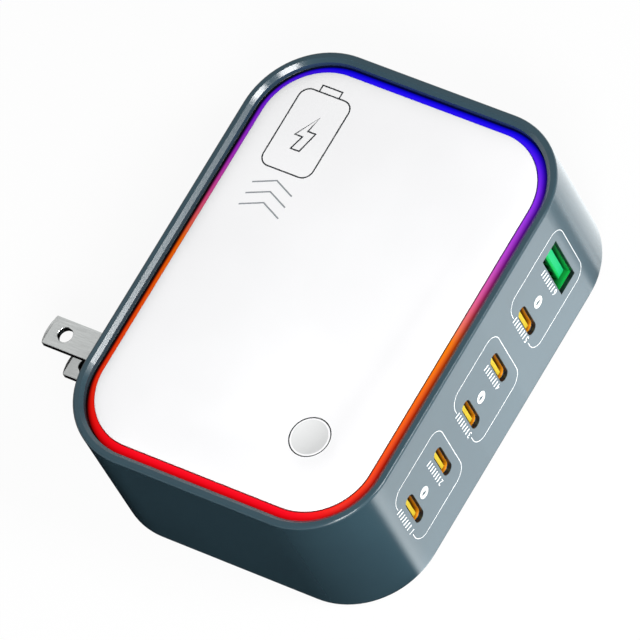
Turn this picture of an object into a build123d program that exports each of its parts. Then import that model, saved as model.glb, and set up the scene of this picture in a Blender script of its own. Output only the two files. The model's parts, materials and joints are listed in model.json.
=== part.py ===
from build123d import *
import math
import os

# Desktop charger: five USB-C sockets and one USB-A socket in the front wall, a lit ring round a
# white top cover with a push button, and a two-blade mains plug that folds into the back wall.
# X runs along the long side, the sockets face -Y, the plug leaves at +Y, Z is up, and the origin
# is the middle of the underside. All sizes are in millimetres.

# Housing
LENGTH = 95.0
WIDTH = 70.5
HEIGHT = 31.4
CORNER_RADIUS = 17.0
WALL = 2.1
FLOOR = 2.1
BASE_ROUND = 1.0
RIM_ROUND = 0.6
RIM_SLOPE_RUN = 0.78
RIM_SLOPE_DROP = 0.66
RIB_WIDTH = 1.6
RIB_DEPTH = 1.6

# Light ring and top cover, counted down from the rim
RING_GAP = 0.3
RING_WIDTH = 1.67
RING_SINK = 0.93
RING_FLANK_RUN = 1.35
RING_FLANK_DROP = 1.2
RING_CREST_ROUND = 0.2
COVER_GAP = 0.13
COVER_SINK = 0.8
COVER_CROWN = 0.3
CROWN_RUN = 5.0
COVER_THICKNESS = 1.4
COVER_EDGE_ROUND = 0.2
SWITCH_SPACE = 2.65
PEG_FROM_END = 25.5
PEG_FROM_SIDE = 10.75
PEG_DIAMETER = 2.0
PEG_COLLAR_DIAMETER = 3.6
PEG_TAIL = 0.3
PEG_CLEARANCE = 0.1

# Light board, its lamps and the frame that carries them
LIGHT_BOARD_THICKNESS = 0.8
LIGHT_BOARD_GAP = 0.4
LAMP_WIDTH = 2.0
LAMP_DEPTH = 1.4
LAMP_HEIGHT = 0.9
LAMP_EDGE = 0.2
LAMPS_LONG_SIDE = 8
LAMPS_SHORT_SIDE = 5
LAMPS_CORNER = 2
FRAME_THICKNESS = 1.2
FRAME_GAP = 0.15
FRAME_BAND = 14.0
FRAME_WINDOW_RADIUS = 6.0
HOOK_WIDTH = 6.0
HOOK_THICKNESS = 1.0
HOOK_LENGTH = 5.0
HOOK_BARB = 0.55
HOOK_BARB_HEIGHT = 1.4
HOOK_PLAY = 0.15

# Push button
BUTTON_FROM_END = 19.3
BUTTON_FROM_FRONT = 19.35
BUTTON_DIAMETER = 8.2
BUTTON_GAP = 0.15
BUTTON_SINK = 0.1
BUTTON_DISH = 0.2
BUTTON_BEVEL = 0.25
BUTTON_TRAVEL = 0.35
BUTTON_FLANGE_LIP = 0.7
BUTTON_FLANGE_THICKNESS = 0.5
BUTTON_FLANGE_PLAY = 0.1
BUTTON_SEAT_BEVEL = 0.45
STEM_DIAMETER = 3.0
SWITCH_SIDE = 4.5
SWITCH_HEIGHT = 1.0
SWITCH_WELL_FLOOR = 0.25
PLUNGER_DIAMETER = 1.8
PLUNGER_CLEARANCE = 0.05
PLUNGER_DEPTH = 0.25
STEM_CLEARANCE = 0.15

# Sockets in the front wall: long sides upright
SOCKET_DROP = 15.0
SOCKET_ROW_SHIFT = -0.86
LIP = 0.95
SOCKET_DEPTH = 13.2
SOCKET_FIT = 0.15
C_COUNT = 5
C_PITCH = 10.88
C_MOUTH = (2.75, 8.7)
C_SHELL = (3.26, 8.94)
C_SHELL_WALL = 0.3
C_TONGUE = (0.9, 6.6)
C_TONGUE_RECESS = 0.25
C_CAVITY = 7.2
C_PADS = 12
C_PAD_PITCH = 0.5
C_PAD = (0.26, 4.0, 0.05)
A_FROM_C = 12.36
A_MOUTH = (5.15, 12.6)
A_SHELL = (5.72, 13.1)
A_SHELL_WALL = 0.3
A_SHELL_CORNER = 0.45
A_TONGUE = (1.84, 10.7)
A_TONGUE_OFFSET = 0.74
A_TONGUE_RECESS = 0.5
A_CAVITY = 11.6
A_PADS = 4
A_PAD_PITCH = 2.3
A_PAD = (1.0, 8.0, 0.15)
SOCKET_BASE_FIT = 0.02

# Mains plug: two flat blades one above the other, turning about an upright axis
PLUG_FROM_END = 23.3
PLUG_RISE = 0.275
BLADE_SPACING = 12.7
BLADE_WIDTH = 6.35
BLADE_THICKNESS = 1.5
BLADE_REACH = 16.45
BLADE_TIP_SAG = 0.8
BLADE_TIP_BEVEL = 0.45
BLADE_HOLE_DIAMETER = 3.2
BLADE_HOLE_FROM_TIP = 4.5
PIVOT_DEPTH = 3.5
ROTOR_RADIUS = 4.6
ROTOR_FLAT = 3.4
ROTOR_OVERHANG = 0.65
ROTOR_GAP = 0.3
ROTOR_END_GAP = 0.1
TRUNNION_DIAMETER = 4.0
BEARING_CLEARANCE = 0.05
BEARING_MOUTH = 3.4
BLADE_TAIL_INSET = 0.15
BLADE_SLOT_GAP = 0.25
BLADE_TIP_GAP = 0.4
HOLDER_END_WALL = 0.6
HOLDER_SIDE_WALL = 1.2
HOLDER_CORNER = 1.5
HOLDER_REAR = 0.6
HOLDER_FLANGE = 1.2
HOLDER_FLANGE_THICKNESS = 1.6
HOLDER_FIT = 0.1
HOLDER_ROOM_GAP = 0.3
HOLDER_TOP_GAP = 0.7
SCOOP_RADIUS = 5.0
SCOOP_DEPTH = 3.0
SCOOP_FROM_TIP = 4.0
CONTACT_WIDTH = 2.2
CONTACT_SPREAD = 3.2
CONTACT_THICKNESS = 0.4
CONTACT_GAP = 0.25
CONTACT_BOW = 1.0
CONTACT_BOW_HEIGHT = 2.4

# Boards
BOARD_THICKNESS = 1.6
BOARD_GAP = 0.4
STANDOFF_HEIGHT = 2.6
STANDOFF_DIAMETER = 4.8
STANDOFF_FROM_END = 8.0
STANDOFF_FROM_FRONT = 23.25
STANDOFF_FROM_BACK = 18.25
PORT_BOARD_MARGIN = 5.6
PORT_BOARD_TOP_GAP = 0.8
SHEET_THICKNESS = 0.4
SHEET_GAP = 0.3
SCREW_DIAMETER = 2.0
SCREW_HEAD_DIAMETER = 3.8
SCREW_HEAD_HEIGHT = 1.2
SCREW_LENGTH = 5.0
SCREW_FIT = 0.05
SCREW_SLOT = 0.6

# Power parts on the main board, placed from the middle or the nearer end, and from the back
CORE_SIZE = (22.0, 13.0, 15.0)
CORE_LEG = 4.5
CORE_X = 12.0
CORE_FROM_BACK = 27.25
WINDING_OVERHANG = 3.5
WINDING_CORNER = 3.0
WINDING_FIT = 0.2
CAN_DIAMETER = 12.5
CAN_TOP_GAP = 2.25
CAN_ROUND = 0.8
CAN_X = -5.75
CANS_FROM_BACK = (17.25, 30.75)
LINE_CAPACITOR_SIZE = (6.5, 16.0, 12.0)
LINE_CAPACITOR_ROUND = 0.8
LINE_CAPACITOR_FROM_END = 22.5
LINE_CAPACITOR_FROM_BACK = 29.25
CHOKE_TOP_GAP = 1.0
CHOKE_BORE = 6.0
CHOKE_WIDTH = 8.0
CHOKE_ROUND = 1.2
CHOKE_FROM_END = 13.5
CHOKE_FROM_BACK = 28.75
CHOKE_BASE = (10.0, 10.0, 3.5)
CHOKE_FLOOR = 1.2
CHOKE_FIT = 0.05
BRIDGE_SIZE = (13.5, 3.6, 9.0)
BRIDGE_LIFT = 2.0
BRIDGE_CORNER = 2.5
BRIDGE_LEGS = 4
BRIDGE_LEG_PITCH = 3.6
BRIDGE_FROM_END = 23.25
BRIDGE_FROM_BACK = 17.75
LEG_WIDTH = 0.8
FUSE_DIAMETER = 8.0
FUSE_HEIGHT = 7.5
FUSE_FROM_END = 13.5
FUSE_FROM_BACK = 11.75
INDUCTOR_SIDE = 5.2
INDUCTOR_HEIGHT = 4.0
INDUCTOR_CORNER = 0.9
INDUCTOR_GAP = 0.7
OUTPUT_CAN_DIAMETER = 5.0
OUTPUT_CAN_HEIGHT = 8.0
SPREADER_THICKNESS = 1.5
SPREADER_LENGTH = 24.0
SPREADER_TOP_GAP = 2.25
SPREADER_FOOT = 2.8
SPREADER_FOOT_INSET = 6.0
SPREADER_FROM_END = 12.0
SPREADER_FROM_BACK = 27.25
TRANSISTOR_SIZE = (4.5, 10.0, 9.0)
TRANSISTOR_LIFT = 3.0
TRANSISTOR_BEVEL = 0.8
TRANSISTOR_SPACING = 12.0
TRANSISTOR_LEGS = 3
TRANSISTOR_LEG_PITCH = 2.54
TAB_THICKNESS = 1.3
TAB_RISE = 3.0
TAB_HOLE_DIAMETER = 1.8
CHIP_SIZE = (5.0, 0.9, 5.0)
CHIP_RISE = 1.6
HEADER_SIZE = (20.0, 2.5, 2.5)
RIBBON_WIDTH = 8.0
RIBBON_THICKNESS = 0.3
RIBBON_X = 23.4
RIBBON_FROM_FRONT = 26.25
RIBBON_SOCKET = (10.0, 2.2, 2.0)

# Levels and places that follow from the sizes above
HALF_X = LENGTH / 2
HALF_Y = WIDTH / 2
COVER_EDGE_Z = HEIGHT - COVER_SINK
COVER_TOP_Z = COVER_EDGE_Z + COVER_CROWN
COVER_UNDER_Z = COVER_EDGE_Z - COVER_THICKNESS
LIGHT_BOARD_TOP = COVER_UNDER_Z - SWITCH_SPACE
FRAME_TOP = LIGHT_BOARD_TOP - LIGHT_BOARD_THICKNESS
FRAME_UNDER = FRAME_TOP - FRAME_THICKNESS
RING_OUTER = WALL + RING_GAP
RING_INNER = RING_OUTER + RING_WIDTH
COVER_INSET = RING_INNER + COVER_GAP
LIGHT_BOARD_INSET = RING_INNER + LIGHT_BOARD_GAP
BOARD_UNDER = FLOOR + STANDOFF_HEIGHT
BOARD_TOP = BOARD_UNDER + BOARD_THICKNESS
BOARD_INSET = WALL + RIB_DEPTH + BOARD_GAP
HEADROOM = FRAME_UNDER - BOARD_TOP
BUTTON_X = BUTTON_FROM_END - HALF_X
BUTTON_Y = BUTTON_FROM_FRONT - HALF_Y
SWITCH_TOP = LIGHT_BOARD_TOP + SWITCH_HEIGHT
STEM_BOTTOM = SWITCH_TOP + BUTTON_TRAVEL + STEM_CLEARANCE
SOCKET_Z = HEIGHT - SOCKET_DROP
SOCKET_ROW = C_PITCH * (C_COUNT - 1) + A_FROM_C
C_XS = [SOCKET_ROW_SHIFT - SOCKET_ROW / 2 + C_PITCH * i for i in range(C_COUNT)]
A_X = C_XS[-1] + A_FROM_C
MOUTH_Y = -HALF_Y + LIP
PORT_BOARD_Y = MOUTH_Y + SOCKET_DEPTH
PORT_BOARD_BACK = PORT_BOARD_Y + BOARD_THICKNESS
PLUG_X = PLUG_FROM_END - HALF_X
PLUG_Z = (BOARD_TOP + FRAME_UNDER) / 2 + PLUG_RISE
PIVOT_Y = HALF_Y - PIVOT_DEPTH
BLADE_ZS = (PLUG_Z + BLADE_SPACING / 2, PLUG_Z - BLADE_SPACING / 2)
TIP_RADIUS = BLADE_REACH + PIVOT_DEPTH
ROTOR_HALF = (BLADE_SPACING + BLADE_THICKNESS) / 2 + ROTOR_OVERHANG
POCKET_RADIUS = ROTOR_RADIUS + ROTOR_GAP
POCKET_HALF = ROTOR_HALF + ROTOR_END_GAP
HOLDER_HALF = POCKET_HALF + HOLDER_END_WALL
HOLDER_LOW_X = PLUG_X - POCKET_RADIUS - HOLDER_SIDE_WALL
HOLDER_HIGH_X = PLUG_X + TIP_RADIUS + BLADE_TIP_GAP + HOLDER_SIDE_WALL
HOLDER_REAR_Y = PIVOT_Y - ROTOR_RADIUS - HOLDER_REAR
STANDOFF_X = HALF_X - STANDOFF_FROM_END
STANDOFF_YS = (STANDOFF_FROM_FRONT - HALF_Y, HALF_Y - STANDOFF_FROM_BACK)
STANDOFFS = [(x, y) for x in (-STANDOFF_X, STANDOFF_X) for y in STANDOFF_YS]
PEG_X = HALF_X - PEG_FROM_END
PEG_Y = HALF_Y - PEG_FROM_SIDE
PEGS = [(x, y) for x in (-PEG_X, PEG_X) for y in (-PEG_Y, PEG_Y)]
CORE_PLACE = (CORE_X, HALF_Y - CORE_FROM_BACK)
CAN_HEIGHT = HEADROOM - CAN_TOP_GAP
CAN_PLACES = [(CAN_X, HALF_Y - back) for back in CANS_FROM_BACK]
LINE_CAPACITOR_PLACE = (LINE_CAPACITOR_FROM_END - HALF_X, HALF_Y - LINE_CAPACITOR_FROM_BACK)
CHOKE_RADIUS = (HEADROOM - CHOKE_FLOOR - CHOKE_FIT - CHOKE_TOP_GAP) / 2
CHOKE_PLACE = (CHOKE_FROM_END - HALF_X, HALF_Y - CHOKE_FROM_BACK)
BRIDGE_PLACE = (BRIDGE_FROM_END - HALF_X, HALF_Y - BRIDGE_FROM_BACK)
FUSE_PLACE = (FUSE_FROM_END - HALF_X, HALF_Y - FUSE_FROM_BACK)
INDUCTOR_Y = PORT_BOARD_BACK + HEADER_SIZE[1] + INDUCTOR_GAP + INDUCTOR_SIDE / 2
SPREADER_HEIGHT = HEADROOM - SPREADER_TOP_GAP
SPREADER_X = HALF_X - SPREADER_FROM_END
SPREADER_Y = HALF_Y - SPREADER_FROM_BACK
RIBBON_PLACE = (RIBBON_X, RIBBON_FROM_FRONT - HALF_Y)


def outline(inset):
    """The housing's plan, drawn in by inset."""
    return RectangleRounded(LENGTH - 2 * inset, WIDTH - 2 * inset, CORNER_RADIUS - inset)


def slab(sketch, low, high):
    """A plan sketch extruded between two levels."""
    return Pos(0, 0, low) * extrude(sketch, high - low)


def block(x, y, z):
    """A box between pairs of limits."""
    centre = Pos((x[0] + x[1]) / 2, (y[0] + y[1]) / 2, (z[0] + z[1]) / 2)
    return centre * Box(x[1] - x[0], y[1] - y[0], z[1] - z[0])


def standing(size, place, low):
    """A box of a size standing at a place on a level."""
    return Pos(place[0], place[1], low + size[2] / 2) * Box(*size)


def post(diameter, place, low, high):
    """An upright cylinder at a place between two levels."""
    return Pos(place[0], place[1], (low + high) / 2) * Cylinder(diameter / 2, high - low)


def along_y(sketch, x, z, start, depth):
    """A sketch in the plane of the front wall, extruded into the body from a level of Y."""
    return Pos(x, start, z) * (Plane.XZ * extrude(sketch, -depth))


def joined(solids):
    """Separate solids that share one node."""
    return Compound([solid for shape in solids for solid in shape.solids()])


def wall_points(offset):
    """Places of the ribs: a point on the inside of a wall and the direction into the cavity."""
    front = [(x + C_PITCH / 2, -HALF_Y + offset, 0, 1) for x in (C_XS[0], C_XS[2])]
    front.append((C_XS[-1] + A_FROM_C / 2, -HALF_Y + offset, 0, 1))
    back = [(x, HALF_Y - offset, 0, -1) for x in (LENGTH / 8, LENGTH / 4)]
    left = [(-HALF_X + offset, y, 1, 0) for y in (-WIDTH / 5, WIDTH / 5)]
    right = [(HALF_X - offset, y, -1, 0) for y in (-WIDTH / 5, WIDTH / 5)]
    return front + back + left + right


def hook_points():
    """Middles of the snap hooks on the two short walls and the back wall, with the outward way."""
    return [(-HALF_X, 0, -1, 0), (HALF_X, 0, 1, 0), (LENGTH * 3 / 16, HALF_Y, 0, 1)]


def hook_block(point, inner, outer, half_width, low, high):
    """A block at a hook: from inner to outer inset behind the wall's outside, over a width."""
    x, y, dx, dy = point
    if dx:
        return block(sorted((x - dx * inner, x - dx * outer)), (y - half_width, y + half_width), (low, high))
    return block((x - half_width, x + half_width), sorted((y - dy * inner, y - dy * outer)), (low, high))


def socket_profile(size, corner):
    """A socket's section in the front wall: narrow across X, long up Z."""
    return RectangleRounded(size[0], size[1], corner)


def grown(size, margin):
    """A pair of sizes with a margin all round."""
    return (size[0] + 2 * margin, size[1] + 2 * margin)


def half_round(size):
    """Corner radius of a slot with nearly round ends."""
    return size[0] * 0.49


def sockets():
    """Each socket's place, mouth, shell and corner radii."""
    listed = [(x, C_MOUTH, half_round(C_MOUTH), C_SHELL, half_round(C_SHELL)) for x in C_XS]
    listed.append((A_X, A_MOUTH, SOCKET_FIT, A_SHELL, A_SHELL_CORNER))
    return listed


def holder_window(margin):
    """Plan of the plug holder in the back wall, drawn out by a margin."""
    width = HOLDER_HIGH_X - HOLDER_LOW_X + 2 * margin
    return RectangleRounded(width, 2 * (HOLDER_HALF + margin), HOLDER_CORNER + margin)


def holder_room():
    """Space that the main board and the frame leave round the plug holder, up from the floor."""
    x = (HOLDER_LOW_X - HOLDER_ROOM_GAP, HOLDER_HIGH_X + HOLDER_ROOM_GAP)
    return block(x, (HOLDER_REAR_Y - HOLDER_ROOM_GAP, HALF_Y), (FLOOR, PLUG_Z + HOLDER_HALF + HOLDER_TOP_GAP))


def leg_row(count, pitch, place, high):
    """Square legs in a row along X, from the main board up to a level."""
    first = place[0] - pitch * (count - 1) / 2
    size = (LEG_WIDTH, LEG_WIDTH, high - BOARD_TOP)
    return [standing(size, (first + pitch * i, place[1]), BOARD_TOP) for i in range(count)]


def make_housing():
    """One moulded tub: rim, walls and floor with socket mouths, plug window, ribs and standoffs."""
    body = slab(outline(0), 0, HEIGHT)
    body = fillet(body.faces().sort_by(Axis.Z)[-1].edges(), RIM_ROUND)
    body = fillet(body.faces().sort_by(Axis.Z)[0].edges(), BASE_ROUND)
    body -= slab(outline(WALL), FLOOR, HEIGHT)
    slope = math.degrees(math.atan2(RIM_SLOPE_RUN, RIM_SLOPE_DROP))
    mouth = Pos(0, 0, HEIGHT) * extrude(outline(WALL - RIM_SLOPE_RUN), -RIM_SLOPE_DROP, taper=slope)
    body -= mouth
    for x, y, dx, dy in wall_points(WALL):
        depth_x = RIB_DEPTH if dx else RIB_WIDTH
        depth_y = RIB_DEPTH if dy else RIB_WIDTH
        centre = (x + dx * RIB_DEPTH / 2, y + dy * RIB_DEPTH / 2)
        body += standing((depth_x, depth_y, FRAME_UNDER - FLOOR), centre, FLOOR)
    for point in hook_points():
        low = FRAME_UNDER - HOOK_LENGTH - HOOK_PLAY
        high = low + HOOK_BARB_HEIGHT + 2 * HOOK_PLAY
        half = HOOK_WIDTH / 2 + HOOK_PLAY
        body -= hook_block(point, WALL - HOOK_BARB, WALL, half, low, high)
    for place in STANDOFFS:
        body += post(STANDOFF_DIAMETER, place, FLOOR, BOARD_UNDER)
        body -= post(SCREW_DIAMETER + 2 * SCREW_FIT, place, BOARD_TOP - SCREW_LENGTH, BOARD_UNDER)
    for x, mouth_size, mouth_corner, shell, shell_corner in sockets():
        body -= along_y(socket_profile(mouth_size, mouth_corner), x, SOCKET_Z, -HALF_Y, WALL)
        nest = socket_profile(grown(shell, SOCKET_FIT), shell_corner + SOCKET_FIT)
        body -= along_y(nest, x, SOCKET_Z, MOUTH_Y, WALL)
    window_x = (HOLDER_LOW_X + HOLDER_HIGH_X) / 2
    body -= along_y(holder_window(HOLDER_FIT), window_x, PLUG_Z, HALF_Y - 2 * WALL, 2 * WALL)
    return body


def make_top():
    """White cover, light ring, light board with lamps, and the frame that carries them."""
    crown = math.degrees(math.atan2(CROWN_RUN, COVER_CROWN))
    cover = slab(outline(COVER_INSET), COVER_UNDER_Z, COVER_EDGE_Z)
    cover = fillet(cover.faces().sort_by(Axis.Z)[-1].edges(), COVER_EDGE_ROUND)
    crown_plan = outline(COVER_INSET + COVER_EDGE_ROUND)
    cover += Pos(0, 0, COVER_EDGE_Z) * extrude(crown_plan, COVER_CROWN, taper=crown)
    button = (BUTTON_X, BUTTON_Y)
    seat_diameter = BUTTON_DIAMETER + 2 * BUTTON_GAP
    cover -= post(seat_diameter, button, COVER_UNDER_Z, COVER_TOP_Z)
    bevel = Cone(seat_diameter / 2, seat_diameter / 2 + BUTTON_SEAT_BEVEL, BUTTON_SEAT_BEVEL)
    cover -= Pos(BUTTON_X, BUTTON_Y, COVER_TOP_Z - BUTTON_SEAT_BEVEL / 2) * bevel
    for place in PEGS:
        cover += post(PEG_COLLAR_DIAMETER, place, LIGHT_BOARD_TOP, COVER_UNDER_Z)
        cover += post(PEG_DIAMETER, place, FRAME_UNDER - PEG_TAIL, LIGHT_BOARD_TOP)

    shoulder = HEIGHT - RING_SINK - RING_FLANK_DROP
    flank = math.degrees(math.atan2(RING_FLANK_RUN, RING_FLANK_DROP))
    ring = slab(outline(RING_OUTER), FRAME_TOP, shoulder)
    ring += Pos(0, 0, shoulder) * extrude(outline(RING_OUTER), RING_FLANK_DROP, taper=flank)
    ring = fillet(ring.faces().sort_by(Axis.Z)[-1].edges(), RING_CREST_ROUND)
    ring -= slab(outline(RING_INNER), FRAME_TOP, HEIGHT)

    board = slab(outline(LIGHT_BOARD_INSET), FRAME_TOP, LIGHT_BOARD_TOP)
    frame = slab(outline(WALL + FRAME_GAP), FRAME_UNDER, FRAME_TOP)
    window = RectangleRounded(LENGTH - 2 * FRAME_BAND, WIDTH - 2 * FRAME_BAND, FRAME_WINDOW_RADIUS)
    frame -= slab(window, FRAME_UNDER, FRAME_TOP)
    frame -= holder_room()
    for place in PEGS:
        board -= post(PEG_DIAMETER + 2 * PEG_CLEARANCE, place, FRAME_TOP, LIGHT_BOARD_TOP)
        frame -= post(PEG_DIAMETER + 2 * PEG_CLEARANCE, place, FRAME_UNDER, FRAME_TOP)
    for point in hook_points():
        foot = FRAME_UNDER - HOOK_LENGTH
        inner = WALL + FRAME_GAP + HOOK_THICKNESS
        half = HOOK_WIDTH / 2
        frame += hook_block(point, WALL + FRAME_GAP, inner, half, foot, FRAME_UNDER)
        barb_inner = WALL - HOOK_BARB + HOOK_PLAY
        frame += hook_block(point, barb_inner, WALL + FRAME_GAP, half, foot, foot + HOOK_BARB_HEIGHT)
    return {"top_cover": cover, "light_ring": ring, "light_board": board, "support_frame": frame}


def make_lamps():
    """Side-firing lamps round the edge of the light board, facing the ring."""
    inset = LIGHT_BOARD_INSET + LAMP_EDGE + LAMP_DEPTH / 2
    straight_x = LENGTH / 2 - CORNER_RADIUS
    straight_y = WIDTH / 2 - CORNER_RADIUS
    lamps = []

    def lamp(x, y, angle):
        solid = Rot(0, 0, angle) * Box(LAMP_DEPTH, LAMP_WIDTH, LAMP_HEIGHT)
        lamps.append(Pos(x, y, LIGHT_BOARD_TOP + LAMP_HEIGHT / 2) * solid)

    for side in (-1, 1):
        for i in range(LAMPS_LONG_SIDE):
            along = (i / (LAMPS_LONG_SIDE - 1) * 2 - 1) * straight_x
            lamp(along, side * (HALF_Y - inset), 90)
        for i in range(LAMPS_SHORT_SIDE):
            along = (i / (LAMPS_SHORT_SIDE - 1) * 2 - 1) * straight_y
            lamp(side * (HALF_X - inset), along, 0)
        for other in (-1, 1):
            for i in range(LAMPS_CORNER):
                angle = (i + 1) / (LAMPS_CORNER + 1) * 90
                radius = CORNER_RADIUS - inset
                x = side * (straight_x + radius * math.cos(math.radians(angle)))
                y = other * (straight_y + radius * math.sin(math.radians(angle)))
                lamp(x, y, math.degrees(math.atan2(y - other * straight_y, x - side * straight_x)))
    return {"light_lamps": joined(lamps)}


def make_button():
    """Dished cap with a retaining flange and stem, on the plunger of a small push switch."""
    place = (BUTTON_X, BUTTON_Y)
    top = COVER_TOP_Z - BUTTON_SINK
    flange_top = COVER_UNDER_Z - BUTTON_FLANGE_PLAY
    flange_under = flange_top - BUTTON_FLANGE_THICKNESS
    cap = post(BUTTON_DIAMETER, place, flange_top, top)
    cap = chamfer(cap.faces().sort_by(Axis.Z)[-1].edges(), BUTTON_BEVEL)
    rim_radius = BUTTON_DIAMETER / 2 - BUTTON_BEVEL
    dish_radius = (rim_radius ** 2 + BUTTON_DISH ** 2) / (2 * BUTTON_DISH)
    cap -= Pos(BUTTON_X, BUTTON_Y, top + dish_radius - BUTTON_DISH) * Sphere(dish_radius)
    cap += post(BUTTON_DIAMETER + 2 * (BUTTON_GAP + BUTTON_FLANGE_LIP), place, flange_under, flange_top)
    cap += post(STEM_DIAMETER, place, STEM_BOTTOM, flange_under)
    plunger = post(PLUNGER_DIAMETER, place, SWITCH_TOP - PLUNGER_DEPTH, STEM_BOTTOM)
    switch = standing((SWITCH_SIDE, SWITCH_SIDE, SWITCH_HEIGHT), place, LIGHT_BOARD_TOP)
    well = PLUNGER_DIAMETER + 2 * PLUNGER_CLEARANCE
    switch -= post(well, place, LIGHT_BOARD_TOP + SWITCH_WELL_FLOOR, SWITCH_TOP)
    return {"button_cap": cap, "switch_plunger": plunger, "push_switch": switch}


def make_socket(x, shell, wall, corner, tongue, offset, recess, cavity):
    """A straight socket: a metal shell, and a moulded base with its tongue."""
    inner = grown(shell, -wall)
    inner_corner = corner - wall
    tube = along_y(socket_profile(shell, corner), x, SOCKET_Z, MOUTH_Y, SOCKET_DEPTH)
    tube -= along_y(socket_profile(inner, inner_corner), x, SOCKET_Z, MOUTH_Y, SOCKET_DEPTH)
    seat = socket_profile(grown(inner, -SOCKET_BASE_FIT), inner_corner)
    base = along_y(seat, x, SOCKET_Z, MOUTH_Y + cavity, SOCKET_DEPTH - cavity)
    blade = along_y(Rectangle(*tongue), x + offset, SOCKET_Z, MOUTH_Y + recess, cavity - recess)
    return tube, base + blade


def make_pads(x, side, tongue, recess, count, pitch, pad):
    """Contact strips on one face of a tongue; side is -1 or 1 along X."""
    width, length, thickness = pad
    face = x + side * (tongue[0] / 2 + thickness / 2)
    low = SOCKET_Z - pitch * (count - 1) / 2
    start = MOUTH_Y + recess + width
    return [along_y(Rectangle(thickness, width), face, low + pitch * i, start, length) for i in range(count)]


def make_sockets():
    """Five narrow sockets, one wide socket, their contacts and the upright board behind them."""
    nodes = {}
    pads = []
    for i, x in enumerate(C_XS, start=1):
        tube, tongue = make_socket(
            x, C_SHELL, C_SHELL_WALL, half_round(C_SHELL), C_TONGUE, 0, C_TONGUE_RECESS, C_CAVITY)
        nodes[f"usb_c_shell_{i}"] = tube
        nodes[f"usb_c_tongue_{i}"] = tongue
        for side in (-1, 1):
            pads += make_pads(x, side, C_TONGUE, C_TONGUE_RECESS, C_PADS, C_PAD_PITCH, C_PAD)
    nodes["usb_c_contacts"] = joined(pads)
    tube, tongue = make_socket(
        A_X, A_SHELL, A_SHELL_WALL, A_SHELL_CORNER, A_TONGUE, A_TONGUE_OFFSET, A_TONGUE_RECESS, A_CAVITY)
    nodes["usb_a_shell"] = tube
    nodes["usb_a_tongue"] = tongue
    strips = make_pads(A_X + A_TONGUE_OFFSET, -1, A_TONGUE, A_TONGUE_RECESS, A_PADS, A_PAD_PITCH, A_PAD)
    nodes["usb_a_contacts"] = joined(strips)
    reach = (C_XS[0] - PORT_BOARD_MARGIN, A_X + PORT_BOARD_MARGIN)
    top = FRAME_UNDER - PORT_BOARD_TOP_GAP
    nodes["port_board"] = block(reach, (PORT_BOARD_Y, PORT_BOARD_BACK), (BOARD_TOP, top))
    chips = []
    for x in C_XS:
        middle = (x, PORT_BOARD_BACK + CHIP_SIZE[1] / 2)
        chips.append(standing(CHIP_SIZE, middle, SOCKET_Z + CHIP_RISE - CHIP_SIZE[2] / 2))
    nodes["port_chips"] = joined(chips)
    header_place = ((C_XS[0] + A_X) / 2, PORT_BOARD_BACK + HEADER_SIZE[1] / 2)
    nodes["board_header"] = standing(HEADER_SIZE, header_place, BOARD_TOP)
    return nodes


def make_blade(z):
    """A flat blade: rounded, bevelled tip with a hole, and a tail that ends round the pivot."""
    half = BLADE_WIDTH / 2
    shoulder = TIP_RADIUS - BLADE_TIP_SAG
    tail_radius = ROTOR_RADIUS - BLADE_TAIL_INSET
    tail = -math.sqrt(tail_radius ** 2 - half ** 2)
    sides = Polyline((-half, shoulder), (-half, tail))
    end = ThreePointArc((-half, tail), (0, -tail_radius), (half, tail))
    other = Polyline((half, tail), (half, shoulder))
    tip = ThreePointArc((half, shoulder), (0, TIP_RADIUS), (-half, shoulder))
    plan = make_face(Curve() + [sides, end, other, tip])
    blade = extrude(plan, BLADE_THICKNESS / 2, both=True)
    rounded = blade.edges().filter_by(GeomType.CIRCLE).sort_by(Axis.Y)[-2:]
    blade = chamfer(rounded, BLADE_TIP_BEVEL)
    blade -= Pos(0, TIP_RADIUS - BLADE_HOLE_FROM_TIP, 0) * Cylinder(BLADE_HOLE_DIAMETER / 2, BLADE_THICKNESS)
    return Pos(PLUG_X, PIVOT_Y, z) * blade


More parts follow.
